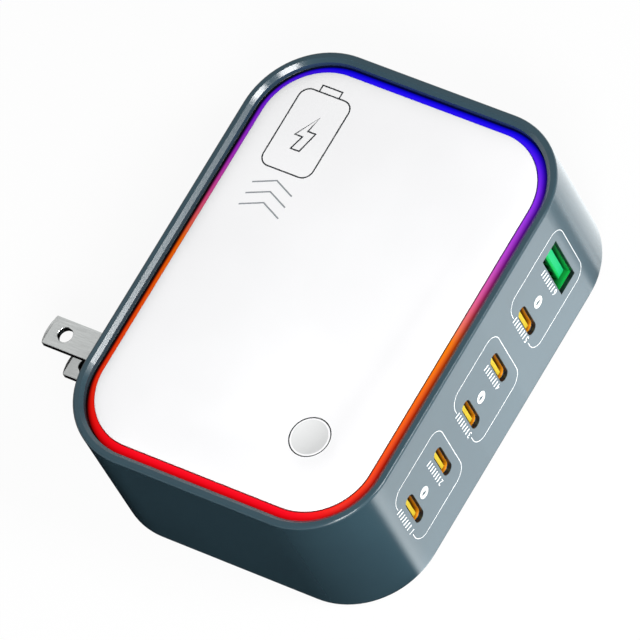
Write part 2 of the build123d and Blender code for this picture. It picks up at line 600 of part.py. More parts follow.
def make_plug():
    """Turning blade carrier, its two blades, the holder in the back wall and two contact springs."""
    pivot = (PLUG_X, PIVOT_Y)
    low, high = PLUG_Z - ROTOR_HALF, PLUG_Z + ROTOR_HALF
    rotor = post(2 * ROTOR_RADIUS, pivot, low, high)
    far = 2 * ROTOR_RADIUS
    rotor &= block((PLUG_X - ROTOR_FLAT, PLUG_X + far), (PIVOT_Y - far, PIVOT_Y + ROTOR_FLAT), (low, high))
    for end in (-1, 1):
        face = PLUG_Z + end * ROTOR_HALF
        rotor += post(TRUNNION_DIAMETER, pivot, *sorted((face, face + end * HOLDER_END_WALL)))
    blades = [make_blade(z) for z in BLADE_ZS]
    for blade in blades:
        rotor -= blade

    window_x = (HOLDER_LOW_X + HOLDER_HIGH_X) / 2
    holder = along_y(holder_window(0), window_x, PLUG_Z, HOLDER_REAR_Y, HALF_Y - HOLDER_REAR_Y)
    inside = HALF_Y - WALL
    flange_x = (HOLDER_LOW_X - HOLDER_FLANGE, HOLDER_HIGH_X + HOLDER_FLANGE)
    flange_z = (PLUG_Z - HOLDER_HALF + HOLDER_CORNER, PLUG_Z + HOLDER_HALF - HOLDER_CORNER)
    flange = block(flange_x, (inside - HOLDER_FLANGE_THICKNESS, inside), flange_z)
    holder += flange & slab(outline(WALL), 0, HEIGHT)
    pocket_z = (PLUG_Z - POCKET_HALF, PLUG_Z + POCKET_HALF)
    holder -= post(2 * POCKET_RADIUS, pivot, *pocket_z)
    holder -= block((PLUG_X - POCKET_RADIUS, PLUG_X + POCKET_RADIUS), (HOLDER_REAR_Y, PIVOT_Y), pocket_z)
    holder_z = (PLUG_Z - HOLDER_HALF, PLUG_Z + HOLDER_HALF)
    holder -= post(TRUNNION_DIAMETER + 2 * BEARING_CLEARANCE, pivot, *holder_z)
    mouth = (PLUG_X - BEARING_MOUTH / 2, PLUG_X + BEARING_MOUTH / 2)
    holder -= block(mouth, (HOLDER_REAR_Y, PIVOT_Y), holder_z)
    slot_x = (PLUG_X, PLUG_X + TIP_RADIUS + BLADE_TIP_GAP)
    slot_y = (PIVOT_Y - BLADE_WIDTH / 2 - BLADE_TIP_GAP, HALF_Y)
    slot_half = BLADE_THICKNESS / 2 + BLADE_SLOT_GAP
    for z in BLADE_ZS:
        holder -= block(slot_x, slot_y, (z - slot_half, z + slot_half))
    scoop = (PLUG_X + TIP_RADIUS - SCOOP_FROM_TIP, HALF_Y + SCOOP_RADIUS - SCOOP_DEPTH)
    holder -= post(2 * SCOOP_RADIUS, scoop, BLADE_ZS[1] - slot_half, BLADE_ZS[0] + slot_half)

    springs = []
    bow_face = PIVOT_Y - ROTOR_RADIUS - CONTACT_GAP
    leg = bow_face - CONTACT_BOW - CONTACT_THICKNESS
    for side, z in zip((-1, 1), BLADE_ZS):
        foot = (leg, BOARD_TOP)
        knee = (leg, z - CONTACT_BOW_HEIGHT / 2)
        crest = (leg + CONTACT_BOW, z)
        head = (leg, z + CONTACT_BOW_HEIGHT / 2)
        path = Polyline(foot, knee, crest, head)
        section = make_face(Plane.YZ * offset_band(path, CONTACT_THICKNESS))
        x = PLUG_X + side * CONTACT_SPREAD / 2
        springs.append(Pos(x, 0, 0) * extrude(section, CONTACT_WIDTH / 2, both=True))
    return {
        "blade_carrier": rotor, "blade_line": blades[0], "blade_neutral": blades[1],
        "plug_holder": holder, "contact_line": springs[0], "contact_neutral": springs[1]}


def offset_band(path, thickness):
    """A bent strip's closed outline: the path and its copy moved along the first axis."""
    points = [tuple(vertex)[:2] for vertex in path.vertices()]
    moved = [(x + thickness, y) for x, y in reversed(points)]
    return Polyline(*points, *moved, close=True)


def make_boards():
    """Main board on standoffs with its screws, and the insulating sheet under it."""
    board = slab(outline(BOARD_INSET), BOARD_UNDER, BOARD_TOP) - holder_room()
    sheet = slab(outline(BOARD_INSET), FLOOR, FLOOR + SHEET_THICKNESS)
    screws = []
    for place in STANDOFFS:
        board -= post(SCREW_DIAMETER + 2 * SCREW_FIT, place, BOARD_UNDER, BOARD_TOP)
        sheet -= post(STANDOFF_DIAMETER + 2 * SHEET_GAP, place, FLOOR, FLOOR + SHEET_THICKNESS)
        screw = post(SCREW_DIAMETER, place, BOARD_TOP - SCREW_LENGTH + SCREW_FIT, BOARD_TOP)
        head_top = BOARD_TOP + SCREW_HEAD_HEIGHT
        screw += post(SCREW_HEAD_DIAMETER, place, BOARD_TOP, head_top)
        slot = standing((SCREW_HEAD_DIAMETER, SCREW_SLOT, SCREW_SLOT), place, head_top - SCREW_SLOT)
        screws.append(screw - slot)
    return {"main_board": board, "insulation_sheet": sheet, "board_screws": joined(screws)}


def can(diameter, height, place):
    """A capacitor can with a rounded top edge, standing on the main board."""
    solid = post(diameter, place, BOARD_TOP, BOARD_TOP + height)
    return fillet(solid.faces().sort_by(Axis.Z)[-1].edges(), CAN_ROUND)


def make_transistor(y):
    """A transistor on three legs, its tab flat against the heat spreader."""
    tab_back = SPREADER_X - SPREADER_THICKNESS / 2
    low = BOARD_TOP + TRANSISTOR_LIFT
    depth, width, height = TRANSISTOR_SIZE
    body = block((tab_back - depth, tab_back), (y - width / 2, y + width / 2), (low, low + height))
    front_edge = body.edges().filter_by(Axis.Y).group_by(Axis.Z)[-1].sort_by(Axis.X)[0]
    body = chamfer(front_edge, TRANSISTOR_BEVEL)
    tab_z = (low + height, low + height + TAB_RISE)
    body += block((tab_back - TAB_THICKNESS, tab_back), (y - width / 2, y + width / 2), tab_z)
    hole = Pos(tab_back, y, (tab_z[0] + tab_z[1]) / 2) * Rot(0, 90, 0)
    body -= hole * Cylinder(TAB_HOLE_DIAMETER / 2, 2 * depth)
    first = y - TRANSISTOR_LEG_PITCH * (TRANSISTOR_LEGS - 1) / 2
    for i in range(TRANSISTOR_LEGS):
        place = (tab_back - depth / 2, first + TRANSISTOR_LEG_PITCH * i)
        body += standing((LEG_WIDTH, LEG_WIDTH, TRANSISTOR_LIFT), place, BOARD_TOP)
    return body


def make_power_parts():
    """What stands on the main board between the mains blades and the sockets."""
    core = standing(CORE_SIZE, CORE_PLACE, BOARD_TOP)
    window_height = CORE_SIZE[2] - 2 * CORE_LEG
    middle_x = CORE_SIZE[0] / 2 - CORE_LEG
    for side in (-1, 1):
        gap = (middle_x - CORE_LEG / 2, CORE_SIZE[1], window_height)
        place = (CORE_PLACE[0] + side * (CORE_LEG / 2 + gap[0] / 2), CORE_PLACE[1])
        core -= standing(gap, place, BOARD_TOP + CORE_LEG)
    winding_depth = CORE_SIZE[1] + 2 * WINDING_OVERHANG
    winding_size = (2 * (middle_x - WINDING_FIT), winding_depth, window_height - 2 * WINDING_FIT)
    winding = standing(winding_size, CORE_PLACE, BOARD_TOP + CORE_LEG + WINDING_FIT)
    winding = fillet(winding.edges().filter_by(Axis.Z), WINDING_CORNER)
    leg_hole = (CORE_LEG + 2 * WINDING_FIT, CORE_SIZE[1] + 2 * WINDING_FIT, window_height)
    winding -= standing(leg_hole, CORE_PLACE, BOARD_TOP + CORE_LEG)

    lying = Pos(*CHOKE_PLACE, BOARD_TOP + CHOKE_FLOOR + CHOKE_FIT + CHOKE_RADIUS) * Rot(0, 90, 0)
    choke = Cylinder(CHOKE_RADIUS, CHOKE_WIDTH) - Cylinder(CHOKE_BORE / 2, CHOKE_WIDTH)
    choke = lying * fillet(choke.edges().filter_by(GeomType.CIRCLE), CHOKE_ROUND)
    cradle = standing(CHOKE_BASE, CHOKE_PLACE, BOARD_TOP)
    cradle -= lying * Cylinder(CHOKE_RADIUS + CHOKE_FIT, CHOKE_BASE[0])

    line_capacitor = standing(LINE_CAPACITOR_SIZE, LINE_CAPACITOR_PLACE, BOARD_TOP)
    round_edges = line_capacitor.edges() - line_capacitor.faces().sort_by(Axis.Z)[0].edges()
    line_capacitor = fillet(round_edges, LINE_CAPACITOR_ROUND)

    bridge_low = BOARD_TOP + BRIDGE_LIFT
    bridge = standing(BRIDGE_SIZE, BRIDGE_PLACE, bridge_low)
    bridge = chamfer(bridge.edges().filter_by(Axis.Y).group_by(Axis.Z)[-1].sort_by(Axis.X)[0], BRIDGE_CORNER)
    for leg in leg_row(BRIDGE_LEGS, BRIDGE_LEG_PITCH, BRIDGE_PLACE, bridge_low):
        bridge += leg

    inductors = []
    for x in C_XS:
        inductor = standing((INDUCTOR_SIDE, INDUCTOR_SIDE, INDUCTOR_HEIGHT), (x, INDUCTOR_Y), BOARD_TOP)
        inductors.append(chamfer(inductor.edges().filter_by(Axis.Z), INDUCTOR_CORNER))
    output_cans = [can(OUTPUT_CAN_DIAMETER, OUTPUT_CAN_HEIGHT, (x + C_PITCH / 2, INDUCTOR_Y)) for x in C_XS]

    spreader_size = (SPREADER_THICKNESS, SPREADER_LENGTH, SPREADER_HEIGHT)
    spreader = standing(spreader_size, (SPREADER_X, SPREADER_Y), BOARD_TOP)
    foot_x = SPREADER_X + SPREADER_FOOT / 2
    foot_length = SPREADER_LENGTH - 2 * SPREADER_FOOT_INSET
    foot_size = (SPREADER_THICKNESS + SPREADER_FOOT, foot_length, SPREADER_THICKNESS)
    spreader += standing(foot_size, (foot_x, SPREADER_Y), BOARD_TOP)
    transistors = [make_transistor(SPREADER_Y + side * TRANSISTOR_SPACING / 2) for side in (-1, 1)]

    ribbon_low = BOARD_TOP + RIBBON_SOCKET[2]
    ribbon_high = FRAME_TOP - RIBBON_SOCKET[2]
    ribbon = standing((RIBBON_WIDTH, RIBBON_THICKNESS, ribbon_high - ribbon_low), RIBBON_PLACE, ribbon_low)
    ends = [standing(RIBBON_SOCKET, RIBBON_PLACE, level) for level in (BOARD_TOP, ribbon_high)]
    return {
        "transformer_core": core,
        "transformer_winding": winding,
        "bulk_capacitors": joined([can(CAN_DIAMETER, CAN_HEIGHT, place) for place in CAN_PLACES]),
        "line_capacitor": line_capacitor,
        "line_choke": choke,
        "choke_cradle": cradle,
        "bridge_rectifier": bridge,
        "mains_fuse": can(FUSE_DIAMETER, FUSE_HEIGHT, FUSE_PLACE),
        "output_inductors": joined(inductors),
        "output_capacitors": joined(output_cans),
        "heat_spreader": spreader,
        "power_transistors": joined(transistors),
        "light_ribbon": ribbon,
        "ribbon_sockets": joined(ends)}


def main():
    """Builds every piece and writes one file for each."""
    os.makedirs("parts", exist_ok=True)
    pieces = {"housing": make_housing()}
    makers = (make_top, make_lamps, make_button, make_sockets, make_plug, make_boards, make_power_parts)
    for make in makers:
        pieces.update(make())
    for name, shape in pieces.items():
        export_step(shape, f"parts/{name}.step")


if __name__ == "__main__":
    main()
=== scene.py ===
"""Looks of a desktop charger: slate housing, lit ring round a white cover, six sockets, folding plug."""
import json
import logging
import math
from dataclasses import dataclass, field
from enum import Enum
from functools import partial
from typing import Any, Callable, Iterable, Sequence

import bmesh
import bpy
from mathutils import Matrix, Vector

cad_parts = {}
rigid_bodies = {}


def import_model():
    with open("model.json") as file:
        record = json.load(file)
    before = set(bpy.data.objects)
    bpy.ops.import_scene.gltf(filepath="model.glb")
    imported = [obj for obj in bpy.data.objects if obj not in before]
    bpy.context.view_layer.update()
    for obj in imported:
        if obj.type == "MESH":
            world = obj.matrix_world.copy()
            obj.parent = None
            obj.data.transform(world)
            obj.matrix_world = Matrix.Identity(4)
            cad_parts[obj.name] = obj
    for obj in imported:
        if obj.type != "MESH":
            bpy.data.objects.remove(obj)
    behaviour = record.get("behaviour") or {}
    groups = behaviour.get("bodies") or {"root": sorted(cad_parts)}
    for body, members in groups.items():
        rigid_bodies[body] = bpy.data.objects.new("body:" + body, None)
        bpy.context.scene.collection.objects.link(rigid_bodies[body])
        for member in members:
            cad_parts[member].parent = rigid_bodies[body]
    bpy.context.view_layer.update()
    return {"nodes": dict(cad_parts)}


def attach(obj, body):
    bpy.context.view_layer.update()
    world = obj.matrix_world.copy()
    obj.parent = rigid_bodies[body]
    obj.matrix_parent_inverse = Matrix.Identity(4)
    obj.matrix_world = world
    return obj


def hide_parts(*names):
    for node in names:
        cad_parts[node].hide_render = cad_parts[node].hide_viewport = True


for leftover in list(bpy.data.objects):
    bpy.data.objects.remove(leftover)
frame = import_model()

MM = 0.001
# A wave texture of scale 1 repeats after this distance.
WAVE_TURN = 2 * math.pi / 20
# Steps round the circles that show large in the picture.
FINE_CIRCLE = 96
# Signs of X and Y in the four quarters, counter-clockwise.
QUARTERS = ((1, 1), (-1, 1), (-1, -1), (1, -1))
Point = tuple[float, float]
Spot = tuple[float, float, float]
Outline = Callable[[float], list[Point]]
Placing = Callable[[float, float, float], Vector]
Tree = bpy.types.NodeTree
Node = bpy.types.Node
Verts = list[bmesh.types.BMVert]
LOG = logging.getLogger("charger")


class Body(str, Enum):
    """The three bodies of the part that pieces can ride on."""

    CASE = "case"
    BUTTON = "button"
    PLUG = "plug"


class Slot(str, Enum):
    """The record's material slots, which each new piece is given but doesn't use."""

    WHITE_PLASTIC = "white_plastic"
    DARK_PLASTIC = "dark_plastic"
    LIT_DIFFUSER = "lit_diffuser"
    BLADE_METAL = "blade_metal"
    ORANGE_PLASTIC = "orange_plastic"
    GREEN_PLASTIC = "green_plastic"


class Along(Enum):
    """The way that drawing or winding marks run, as the axis along the marks."""

    X = 0
    Y = 1
    Z = 2


def linear(colour: str) -> tuple[float, float, float, float]:
    """Turn an sRGB hex colour to linear light.

    Args:
        colour: six hex digits after a hash sign.

    Returns:
        Linear red, green and blue, and an alpha of 1.
    """
    parts = [int(colour[i:i + 2], 16) / 255 for i in (1, 3, 5)]
    red, green, blue = [c / 12.92 if c <= 0.04045 else ((c + 0.055) / 1.055) ** 2.4 for c in parts]
    return red, green, blue, 1.0


def feed(tree: Tree, node: Node, inputs: dict[str | int, Any]) -> None:
    """Link or set inputs of a node.

    Args:
        tree: the node tree of a material or world.
        node: the node.
        inputs: by input name or number, the value to set, or the socket or node to link from.
    """
    for key, value in inputs.items():
        if isinstance(value, bpy.types.Node):
            value = value.outputs[0]
        if isinstance(value, bpy.types.NodeSocket):
            tree.links.new(value, node.inputs[key])
        else:
            node.inputs[key].default_value = value


def add_node(tree: Tree, kind: str, inputs: dict[str | int, Any] | None = None,
             stops: Sequence[tuple[float, str]] = (), **settings: Any) -> Node:
    """Add a node with its settings and links.

    Args:
        tree: the node tree of a material or world.
        kind: Blender's name for the kind of node.
        inputs: by input name or number, the value to set, or the socket or node to link from.
        stops: positions and hex colours, for a node that holds a colour ramp.
        settings: properties of the node.

    Returns:
        The node.
    """
    node = tree.nodes.new(kind)
    for name, value in settings.items():
        setattr(node, name, value)
    feed(tree, node, inputs or {})
    for number, (position, colour) in enumerate(stops):
        ramp = node.color_ramp.elements
        stop = ramp[number] if number < 2 else ramp.new(position)
        stop.position = position
        stop.color = linear(colour)
    return node


@dataclass(frozen=True)
class Finish:
    """A procedural material, named for what the real one is and how its surface was made."""

    name: str

    def material(self) -> bpy.types.Material:
        """Give the material, which is made at its first use.

        Returns:
            The material with its nodes wired.
        """
        made = bpy.data.materials.get(self.name)
        if made is None:
            made = bpy.data.materials.new(self.name)
            made.use_nodes = True
            self.wire(made.node_tree, made.node_tree.nodes["Principled BSDF"])
        return made

    def wire(self, tree: Tree, shader: Node) -> None:
        """Wire the nodes of this finish into its shader.

        Args:
            tree: the material's node tree.
            shader: its Principled shader.
        """
        raise NotImplementedError


@dataclass(frozen=True)
class MouldedPlastic(Finish):
    """Injection moulded plastic: faint cloudy colour and the tool's spark-eroded grain."""

    colour: str
    shade: str
    roughness: float
    ior: float
    grain_mm: float
    grain_depth_mm: float
    cloud_mm: float
    spread: float = 0.04

    def wire(self, tree: Tree, shader: Node) -> None:
        """Wire clouds to the colour, and grain to the roughness and bump.

        Args:
            tree: the material's node tree.
            shader: its Principled shader.
        """
        place = add_node(tree, "ShaderNodeTexCoord").outputs["Object"]
        clouds = add_node(tree, "ShaderNodeTexNoise", {
            "Vector": place, "Scale": 1 / (self.cloud_mm * MM), "Detail": 2.0})
        # The real grain is under 0.1 mm, too fine for the picture, so it is drawn coarser.
        grain = add_node(tree, "ShaderNodeTexNoise", {
            "Vector": place, "Scale": 1 / (self.grain_mm * MM), "Detail": 3.0})
        colour = add_node(tree, "ShaderNodeValToRGB", {"Fac": clouds},
                          stops=((0.35, self.shade), (0.65, self.colour)))
        sheen = add_node(tree, "ShaderNodeMapRange", {
            "Value": grain, "From Min": 0.3, "From Max": 0.7,
            "To Min": self.roughness - self.spread, "To Max": self.roughness + self.spread})
        bump = add_node(tree, "ShaderNodeBump", {
            "Height": grain, "Strength": 0.6, "Distance": self.grain_depth_mm * MM})
        feed(tree, shader, {"Base Color": colour, "Roughness": sheen,
                            "Normal": bump, "IOR": self.ior})


@dataclass(frozen=True)
class TwoShotPlastic(Finish):
    """Two plastics moulded as one round cap: a face and a pale edge, and a flank painted dark grey as shade
    where light doesn't reach.
    """

    face: str
    edge: str
    flank: str
    centre_mm: Point
    radii_mm: Point
    blend_mm: float = 0.05
    roughness: float = 0.35
    ior: float = 1.54
    grain_mm: float = 0.35
    grain_depth_mm: float = 0.0008

    def wire(self, tree: Tree, shader: Node) -> None:
        """Wire the distance from the cap's axis to the colour, and mould grain to the bump.

        Args:
            tree: the material's node tree.
            shader: its Principled shader.
        """
        place = add_node(tree, "ShaderNodeTexCoord").outputs["Object"]
        shifted = add_node(tree, "ShaderNodeMapping", {
            "Vector": place, "Location": (-self.centre_mm[0] * MM, -self.centre_mm[1] * MM, 0.0),
            "Scale": (1.0, 1.0, 0.0)})
        reach = add_node(tree, "ShaderNodeVectorMath", {0: shifted}, operation="LENGTH")
        low, high = self.radii_mm[0] - self.blend_mm, self.radii_mm[1] + self.blend_mm
        side = add_node(tree, "ShaderNodeMapRange", {
            "Value": reach.outputs["Value"], "From Min": low * MM, "From Max": high * MM})
        step = 2 * self.blend_mm / (high - low)
        # Painted shade: the flank beyond the edge takes a dark grey.
        colour = add_node(tree, "ShaderNodeValToRGB", {"Fac": side}, stops=(
            (0.0, self.face), (1.0, self.flank), (step, self.edge), (1 - step, self.edge)))
        # The real grain is under 0.1 mm, too fine for the picture, so it is drawn coarser.
        grain = add_node(tree, "ShaderNodeTexNoise", {"Vector": place, "Scale": 1 / (self.grain_mm * MM)})
        bump = add_node(tree, "ShaderNodeBump", {
            "Height": grain, "Strength": 0.5, "Distance": self.grain_depth_mm * MM})
        feed(tree, shader, {"Base Color": colour, "Normal": bump,
                            "Roughness": self.roughness, "IOR": self.ior})


@dataclass(frozen=True)
class SocketPlastic(Finish):
    """Nylon socket moulding with painted light and shade: a painted highlight on the front edge, painted
    shade deeper inside.
    """

    front: str
    middle: str
    deep: str
    mouth_mm: float
    depth_mm: float
    top_shade: float = 0.0
    levels_mm: Point = (10.2, 22.6)
    shares: Spot = (0.05, 0.22, 0.9)
    grain_mm: float = 0.25
    grain_depth_mm: float = 0.002
    roughness: float = 0.5
    ior: float = 1.53
    specular: float = 0.1

    def wire(self, tree: Tree, shader: Node) -> None:
        """Wire the depth behind the mouth and the height to the colour as painted shade, and a fine grain to
        the bump.

        Args:
            tree: the material's node tree.
            shader: its Principled shader.
        """
        place = add_node(tree, "ShaderNodeTexCoord").outputs["Object"]
        parts = add_node(tree, "ShaderNodeSeparateXYZ", {"Vector": place})
        depth = add_node(tree, "ShaderNodeMapRange", {
            "Value": parts.outputs["Y"], "From Min": self.mouth_mm * MM,
            "From Max": (self.mouth_mm + self.depth_mm) * MM})
        # Painted shade: darker higher up, as light that falls in from above reaches the lower end best.
        shade = add_node(tree, "ShaderNodeMapRange", {
            "Value": parts.outputs["Z"], "From Min": self.levels_mm[0] * MM,
            "From Max": self.levels_mm[1] * MM, "To Max": self.top_shade})
        inward = add_node(tree, "ShaderNodeMath", {
            0: depth, 1: shade}, operation="ADD")
        # Painted highlight near the mouth, painted shade further in.
        near, inside, far = self.shares
        colour = add_node(tree, "ShaderNodeValToRGB", {"Fac": inward},
                          stops=((near, self.front), (far, self.deep), (inside, self.middle)))
        # The mould grain of glass-filled nylon is finer, and is drawn this coarse so that it shows at all.
        grain = add_node(tree, "ShaderNodeTexNoise", {"Vector": place, "Scale": 1 / (self.grain_mm * MM)})
        bump = add_node(tree, "ShaderNodeBump", {
            "Height": grain, "Strength": 0.5, "Distance": self.grain_depth_mm * MM})
        feed(tree, shader, {"Base Color": colour, "Normal": bump,
                            "Roughness": self.roughness, "IOR": self.ior,
                            "Specular IOR Level": self.specular})


@dataclass(frozen=True)
class LitDiffuser(Finish):
    """Opal polycarbonate light guide that glows: its colour runs along the case, with painted shade down its
    flank and towards the back.
    """

    colours: tuple[tuple[float, str], ...]
    half_length_mm: float = 47.5
    low_mm: float = 29.25
    high_mm: float = 30.47
    low_strength: float = 0.03
    back_strength: float = 0.74
    back_mm: Point = (14.0, 30.0)
    end_power: float = 0.35
    end_share: Point = (0.76, 0.9)
    deep_gamma: float = 1.75
    unlit: str = "#0a0607"
    roughness: float = 0.35
    ior: float = 1.58
    specular: float = 0.02

    def wire(self, tree: Tree, shader: Node) -> None:
        """Wire the place along X to the glow's colour, and the height and side to its strength as painted
        shade and light.

        Args:
            tree: the material's node tree.
            shader: its Principled shader.
        """
        place = add_node(tree, "ShaderNodeTexCoord").outputs["Object"]
        parts = add_node(tree, "ShaderNodeSeparateXYZ", {"Vector": place})
        half = self.half_length_mm
        along = add_node(tree, "ShaderNodeMapRange", {
            "Value": parts.outputs["X"], "From Min": -half * MM, "From Max": half * MM})
        ends = (self.colours[0], self.colours[-1], *self.colours[1:-1])
        colour = add_node(tree, "ShaderNodeValToRGB", {"Fac": along},
                          stops=[((x + half) / (2 * half), tone) for x, tone in ends])
        # Painted shade: the glow fades from the crest down the flank.
        glow = add_node(tree, "ShaderNodeMapRange", {
            "Value": parts.outputs["Z"], "From Min": self.low_mm * MM, "From Max": self.high_mm * MM,
            "To Min": self.low_strength}, interpolation_type="SMOOTHSTEP")
        # Painted light: at the short ends the lamps face the guide squarely, so its flank is painted nearly
        # as bright as its crest.
        reach = add_node(tree, "ShaderNodeMath", {0: parts.outputs["X"]}, operation="ABSOLUTE")
        power = add_node(tree, "ShaderNodeMapRange", {
            "Value": reach, "From Min": self.end_share[0] * half * MM,
            "From Max": self.end_share[1] * half * MM, "To Min": 1.0, "To Max": self.end_power})
        evened = add_node(tree, "ShaderNodeMath", {
            0: glow, 1: power}, operation="POWER")
        # Painted shade: the glow is dimmer towards the back.
        back = add_node(tree, "ShaderNodeMapRange", {
            "Value": parts.outputs["Y"], "From Min": self.back_mm[0] * MM, "From Max": self.back_mm[1] * MM,
            "To Min": 1.0, "To Max": self.back_strength})
        strength = add_node(tree, "ShaderNodeMath", {
            0: evened, 1: back}, operation="MULTIPLY")
        # Painted shade also deepens the colour where the glow is weaker.
        depth = add_node(tree, "ShaderNodeMapRange", {
            "Value": strength, "To Min": self.deep_gamma, "To Max": 1.0})
        shade_deepened = add_node(tree, "ShaderNodeGamma", {
            "Color": colour, "Gamma": depth})
        feed(tree, shader, {
            "Emission Color": shade_deepened, "Emission Strength": strength,
            "Base Color": linear(self.unlit), "Roughness": self.roughness, "IOR": self.ior,
            "Specular IOR Level": self.specular})


@dataclass(frozen=True)
class WorkedMetal(Finish):
    """Plated or bare sheet metal with the fine lines that rolling, drawing or stamping leave."""

    colour: str
    shade: str
    roughness: float
    lines_mm: float
    lines_depth_mm: float
    along: Along
    stretch: float = 30.0
    spread: float = 0.05

    def wire(self, tree: Tree, shader: Node) -> None:
        """Wire noise, drawn out along the lines, to the colour, roughness and bump.

        Args:
            tree: the material's node tree.
            shader: its Principled shader.
        """
        place = add_node(tree, "ShaderNodeTexCoord").outputs["Object"]
        scale = [1 / (self.lines_mm * MM)] * 3
        scale[self.along.value] /= self.stretch
        drawn = add_node(tree, "ShaderNodeMapping", {"Vector": place, "Scale": scale})
        lines = add_node(tree, "ShaderNodeTexNoise", {
            "Vector": drawn, "Scale": 1.0, "Detail": 2.0})
        colour = add_node(tree, "ShaderNodeValToRGB", {"Fac": lines},
                          stops=((0.3, self.shade), (0.7, self.colour)))
        sheen = add_node(tree, "ShaderNodeMapRange", {
            "Value": lines, "From Min": 0.3, "From Max": 0.7,
            "To Min": self.roughness - self.spread, "To Max": self.roughness + self.spread})
        bump = add_node(tree, "ShaderNodeBump", {
            "Height": lines, "Strength": 0.5, "Distance": self.lines_depth_mm * MM})
        feed(tree, shader, {"Base Color": colour, "Roughness": sheen,
                            "Normal": bump, "Metallic": 1.0})


@dataclass(frozen=True)
class LacqueredBoard(Finish):
    """Glass-epoxy board under solder lacquer: the cloth's weave shows faintly through it."""

    colour: str
    shade: str
    weave_mm: float = 0.45
    weave_depth_mm: float = 0.003
    roughness: float = 0.3
    ior: float = 1.55

    def wire(self, tree: Tree, shader: Node) -> None:
        """Wire two crossing sets of threads to the colour and the bump.

        Args:
            tree: the material's node tree.
            shader: its Principled shader.
        """
        place = add_node(tree, "ShaderNodeTexCoord").outputs["Object"]
        threads = [add_node(tree, "ShaderNodeTexWave", {
            "Vector": place, "Scale": WAVE_TURN / (self.weave_mm * MM), "Distortion": 0.3},
            bands_direction=way) for way in ("X", "Y")]
        weave = add_node(tree, "ShaderNodeMath", {
            0: threads[0].outputs["Fac"], 1: threads[1].outputs["Fac"]}, operation="MULTIPLY")
        colour = add_node(tree, "ShaderNodeValToRGB", {"Fac": weave},
                          stops=((0.0, self.shade), (0.8, self.colour)))
        bump = add_node(tree, "ShaderNodeBump", {
            "Height": weave, "Strength": 0.4, "Distance": self.weave_depth_mm * MM})
        feed(tree, shader, {"Base Color": colour, "Normal": bump,
                            "Roughness": self.roughness, "IOR": self.ior})


@dataclass(frozen=True)
class WoundWire(Finish):
    """Enamelled copper wire in close turns: bright lines along each turn, dark between them."""

    colour: str
    shade: str
    wire_mm: float
    along: Along

    def wire(self, tree: Tree, shader: Node) -> None:
        """Wire bands one wire apart to the colour and the bump.

        Args:
            tree: the material's node tree.
            shader: its Principled shader.
        """
        place = add_node(tree, "ShaderNodeTexCoord").outputs["Object"]
        turns = add_node(tree, "ShaderNodeTexWave", {
            "Vector": place, "Scale": WAVE_TURN / (self.wire_mm * MM)}, bands_direction=self.along.name)
        colour = add_node(tree, "ShaderNodeValToRGB", {"Fac": turns.outputs["Fac"]},
                          stops=((0.05, self.shade), (0.5, self.colour)))
        bump = add_node(tree, "ShaderNodeBump", {
            "Height": turns.outputs["Fac"], "Strength": 0.8, "Distance": 0.2 * self.wire_mm * MM})
        feed(tree, shader, {"Base Color": colour, "Normal": bump,
                            "Metallic": 0.8, "Roughness": 0.3})


@dataclass(frozen=True)
class PrintedInk(Finish):
    """Pad-printed ink: a thin even film whose edge and tone break up very slightly."""

    colour: str
    shade: str
    roughness: float = 0.5
    ior: float = 1.48
    dots_mm: float = 0.4

    def wire(self, tree: Tree, shader: Node) -> None:
        """Wire a fine speckle to the colour.

        Args:
            tree: the material's node tree.
            shader: its Principled shader.
        """
        place = add_node(tree, "ShaderNodeTexCoord").outputs["Object"]
        # The screen's dots are about 0.1 mm, and are drawn coarser so that they show at all.
        dots = add_node(tree, "ShaderNodeTexNoise", {"Vector": place, "Scale": 1 / (self.dots_mm * MM)})
        colour = add_node(tree, "ShaderNodeValToRGB", {"Fac": dots},
                          stops=((0.3, self.shade), (0.6, self.colour)))
        feed(tree, shader, {
            "Base Color": colour, "Roughness": self.roughness, "IOR": self.ior})


@dataclass(frozen=True)
class PaintedFloor(Finish):
    """Matt white studio paint: an even pale ground that keeps a soft shadow."""

    colour: str = "#f6f6f6"
    glow_share: float = 0.93

    def wire(self, tree: Tree, shader: Node) -> None:
        """Mix plain paint with an even white that camera, glossy and transmission rays see.

        Args:
            tree: the material's node tree.
            shader: its Principled shader.
        """
        feed(tree, shader, {"Base Color": linear(self.colour), "Roughness": 0.9, "Specular IOR Level": 0.0})
        path = add_node(tree, "ShaderNodeLightPath").outputs
        seen = add_node(tree, "ShaderNodeMath", {
            0: path["Is Camera Ray"], 1: path["Is Glossy Ray"]}, operation="MAXIMUM")
        seen = add_node(tree, "ShaderNodeMath", {
            0: seen, 1: path["Is Transmission Ray"]}, operation="MAXIMUM")
        share = add_node(tree, "ShaderNodeMath", {
            0: seen, 1: self.glow_share}, operation="MULTIPLY")
        even = add_node(tree, "ShaderNodeEmission", {"Color": linear("#ffffff"), "Strength": 1.0})
        mixed = add_node(tree, "ShaderNodeMixShader", {
            0: share, 1: shader, 2: even})
        feed(tree, tree.nodes["Material Output"], {"Surface": mixed})


@dataclass(frozen=True)
class CardFace(Finish):
    """Face of a studio card: an even glow, or flocked black that gives back next to no light."""

    radiance: float
    face: str = "#050505"
    glow: str = "#f8fdff"

    def wire(self, tree: Tree, shader: Node) -> None:
        """Set a dull black face with the card's glow.

        Args:
            tree: the material's node tree.
            shader: its Principled shader.
        """
        feed(tree, shader, {
            "Base Color": linear(self.face), "Roughness": 1.0, "Specular IOR Level": 0.0,
            "Emission Color": linear(self.glow), "Emission Strength": self.radiance})


# Moulded ABS and polycarbonate blend, satin: a soft sheen that veils the colour at flat angles.
SLATE_CASE = MouldedPlastic("moulded_pc_abs_slate", "#364d57", "#344a54", 0.18, 1.54, 0.35, 0.0003, 18.0)
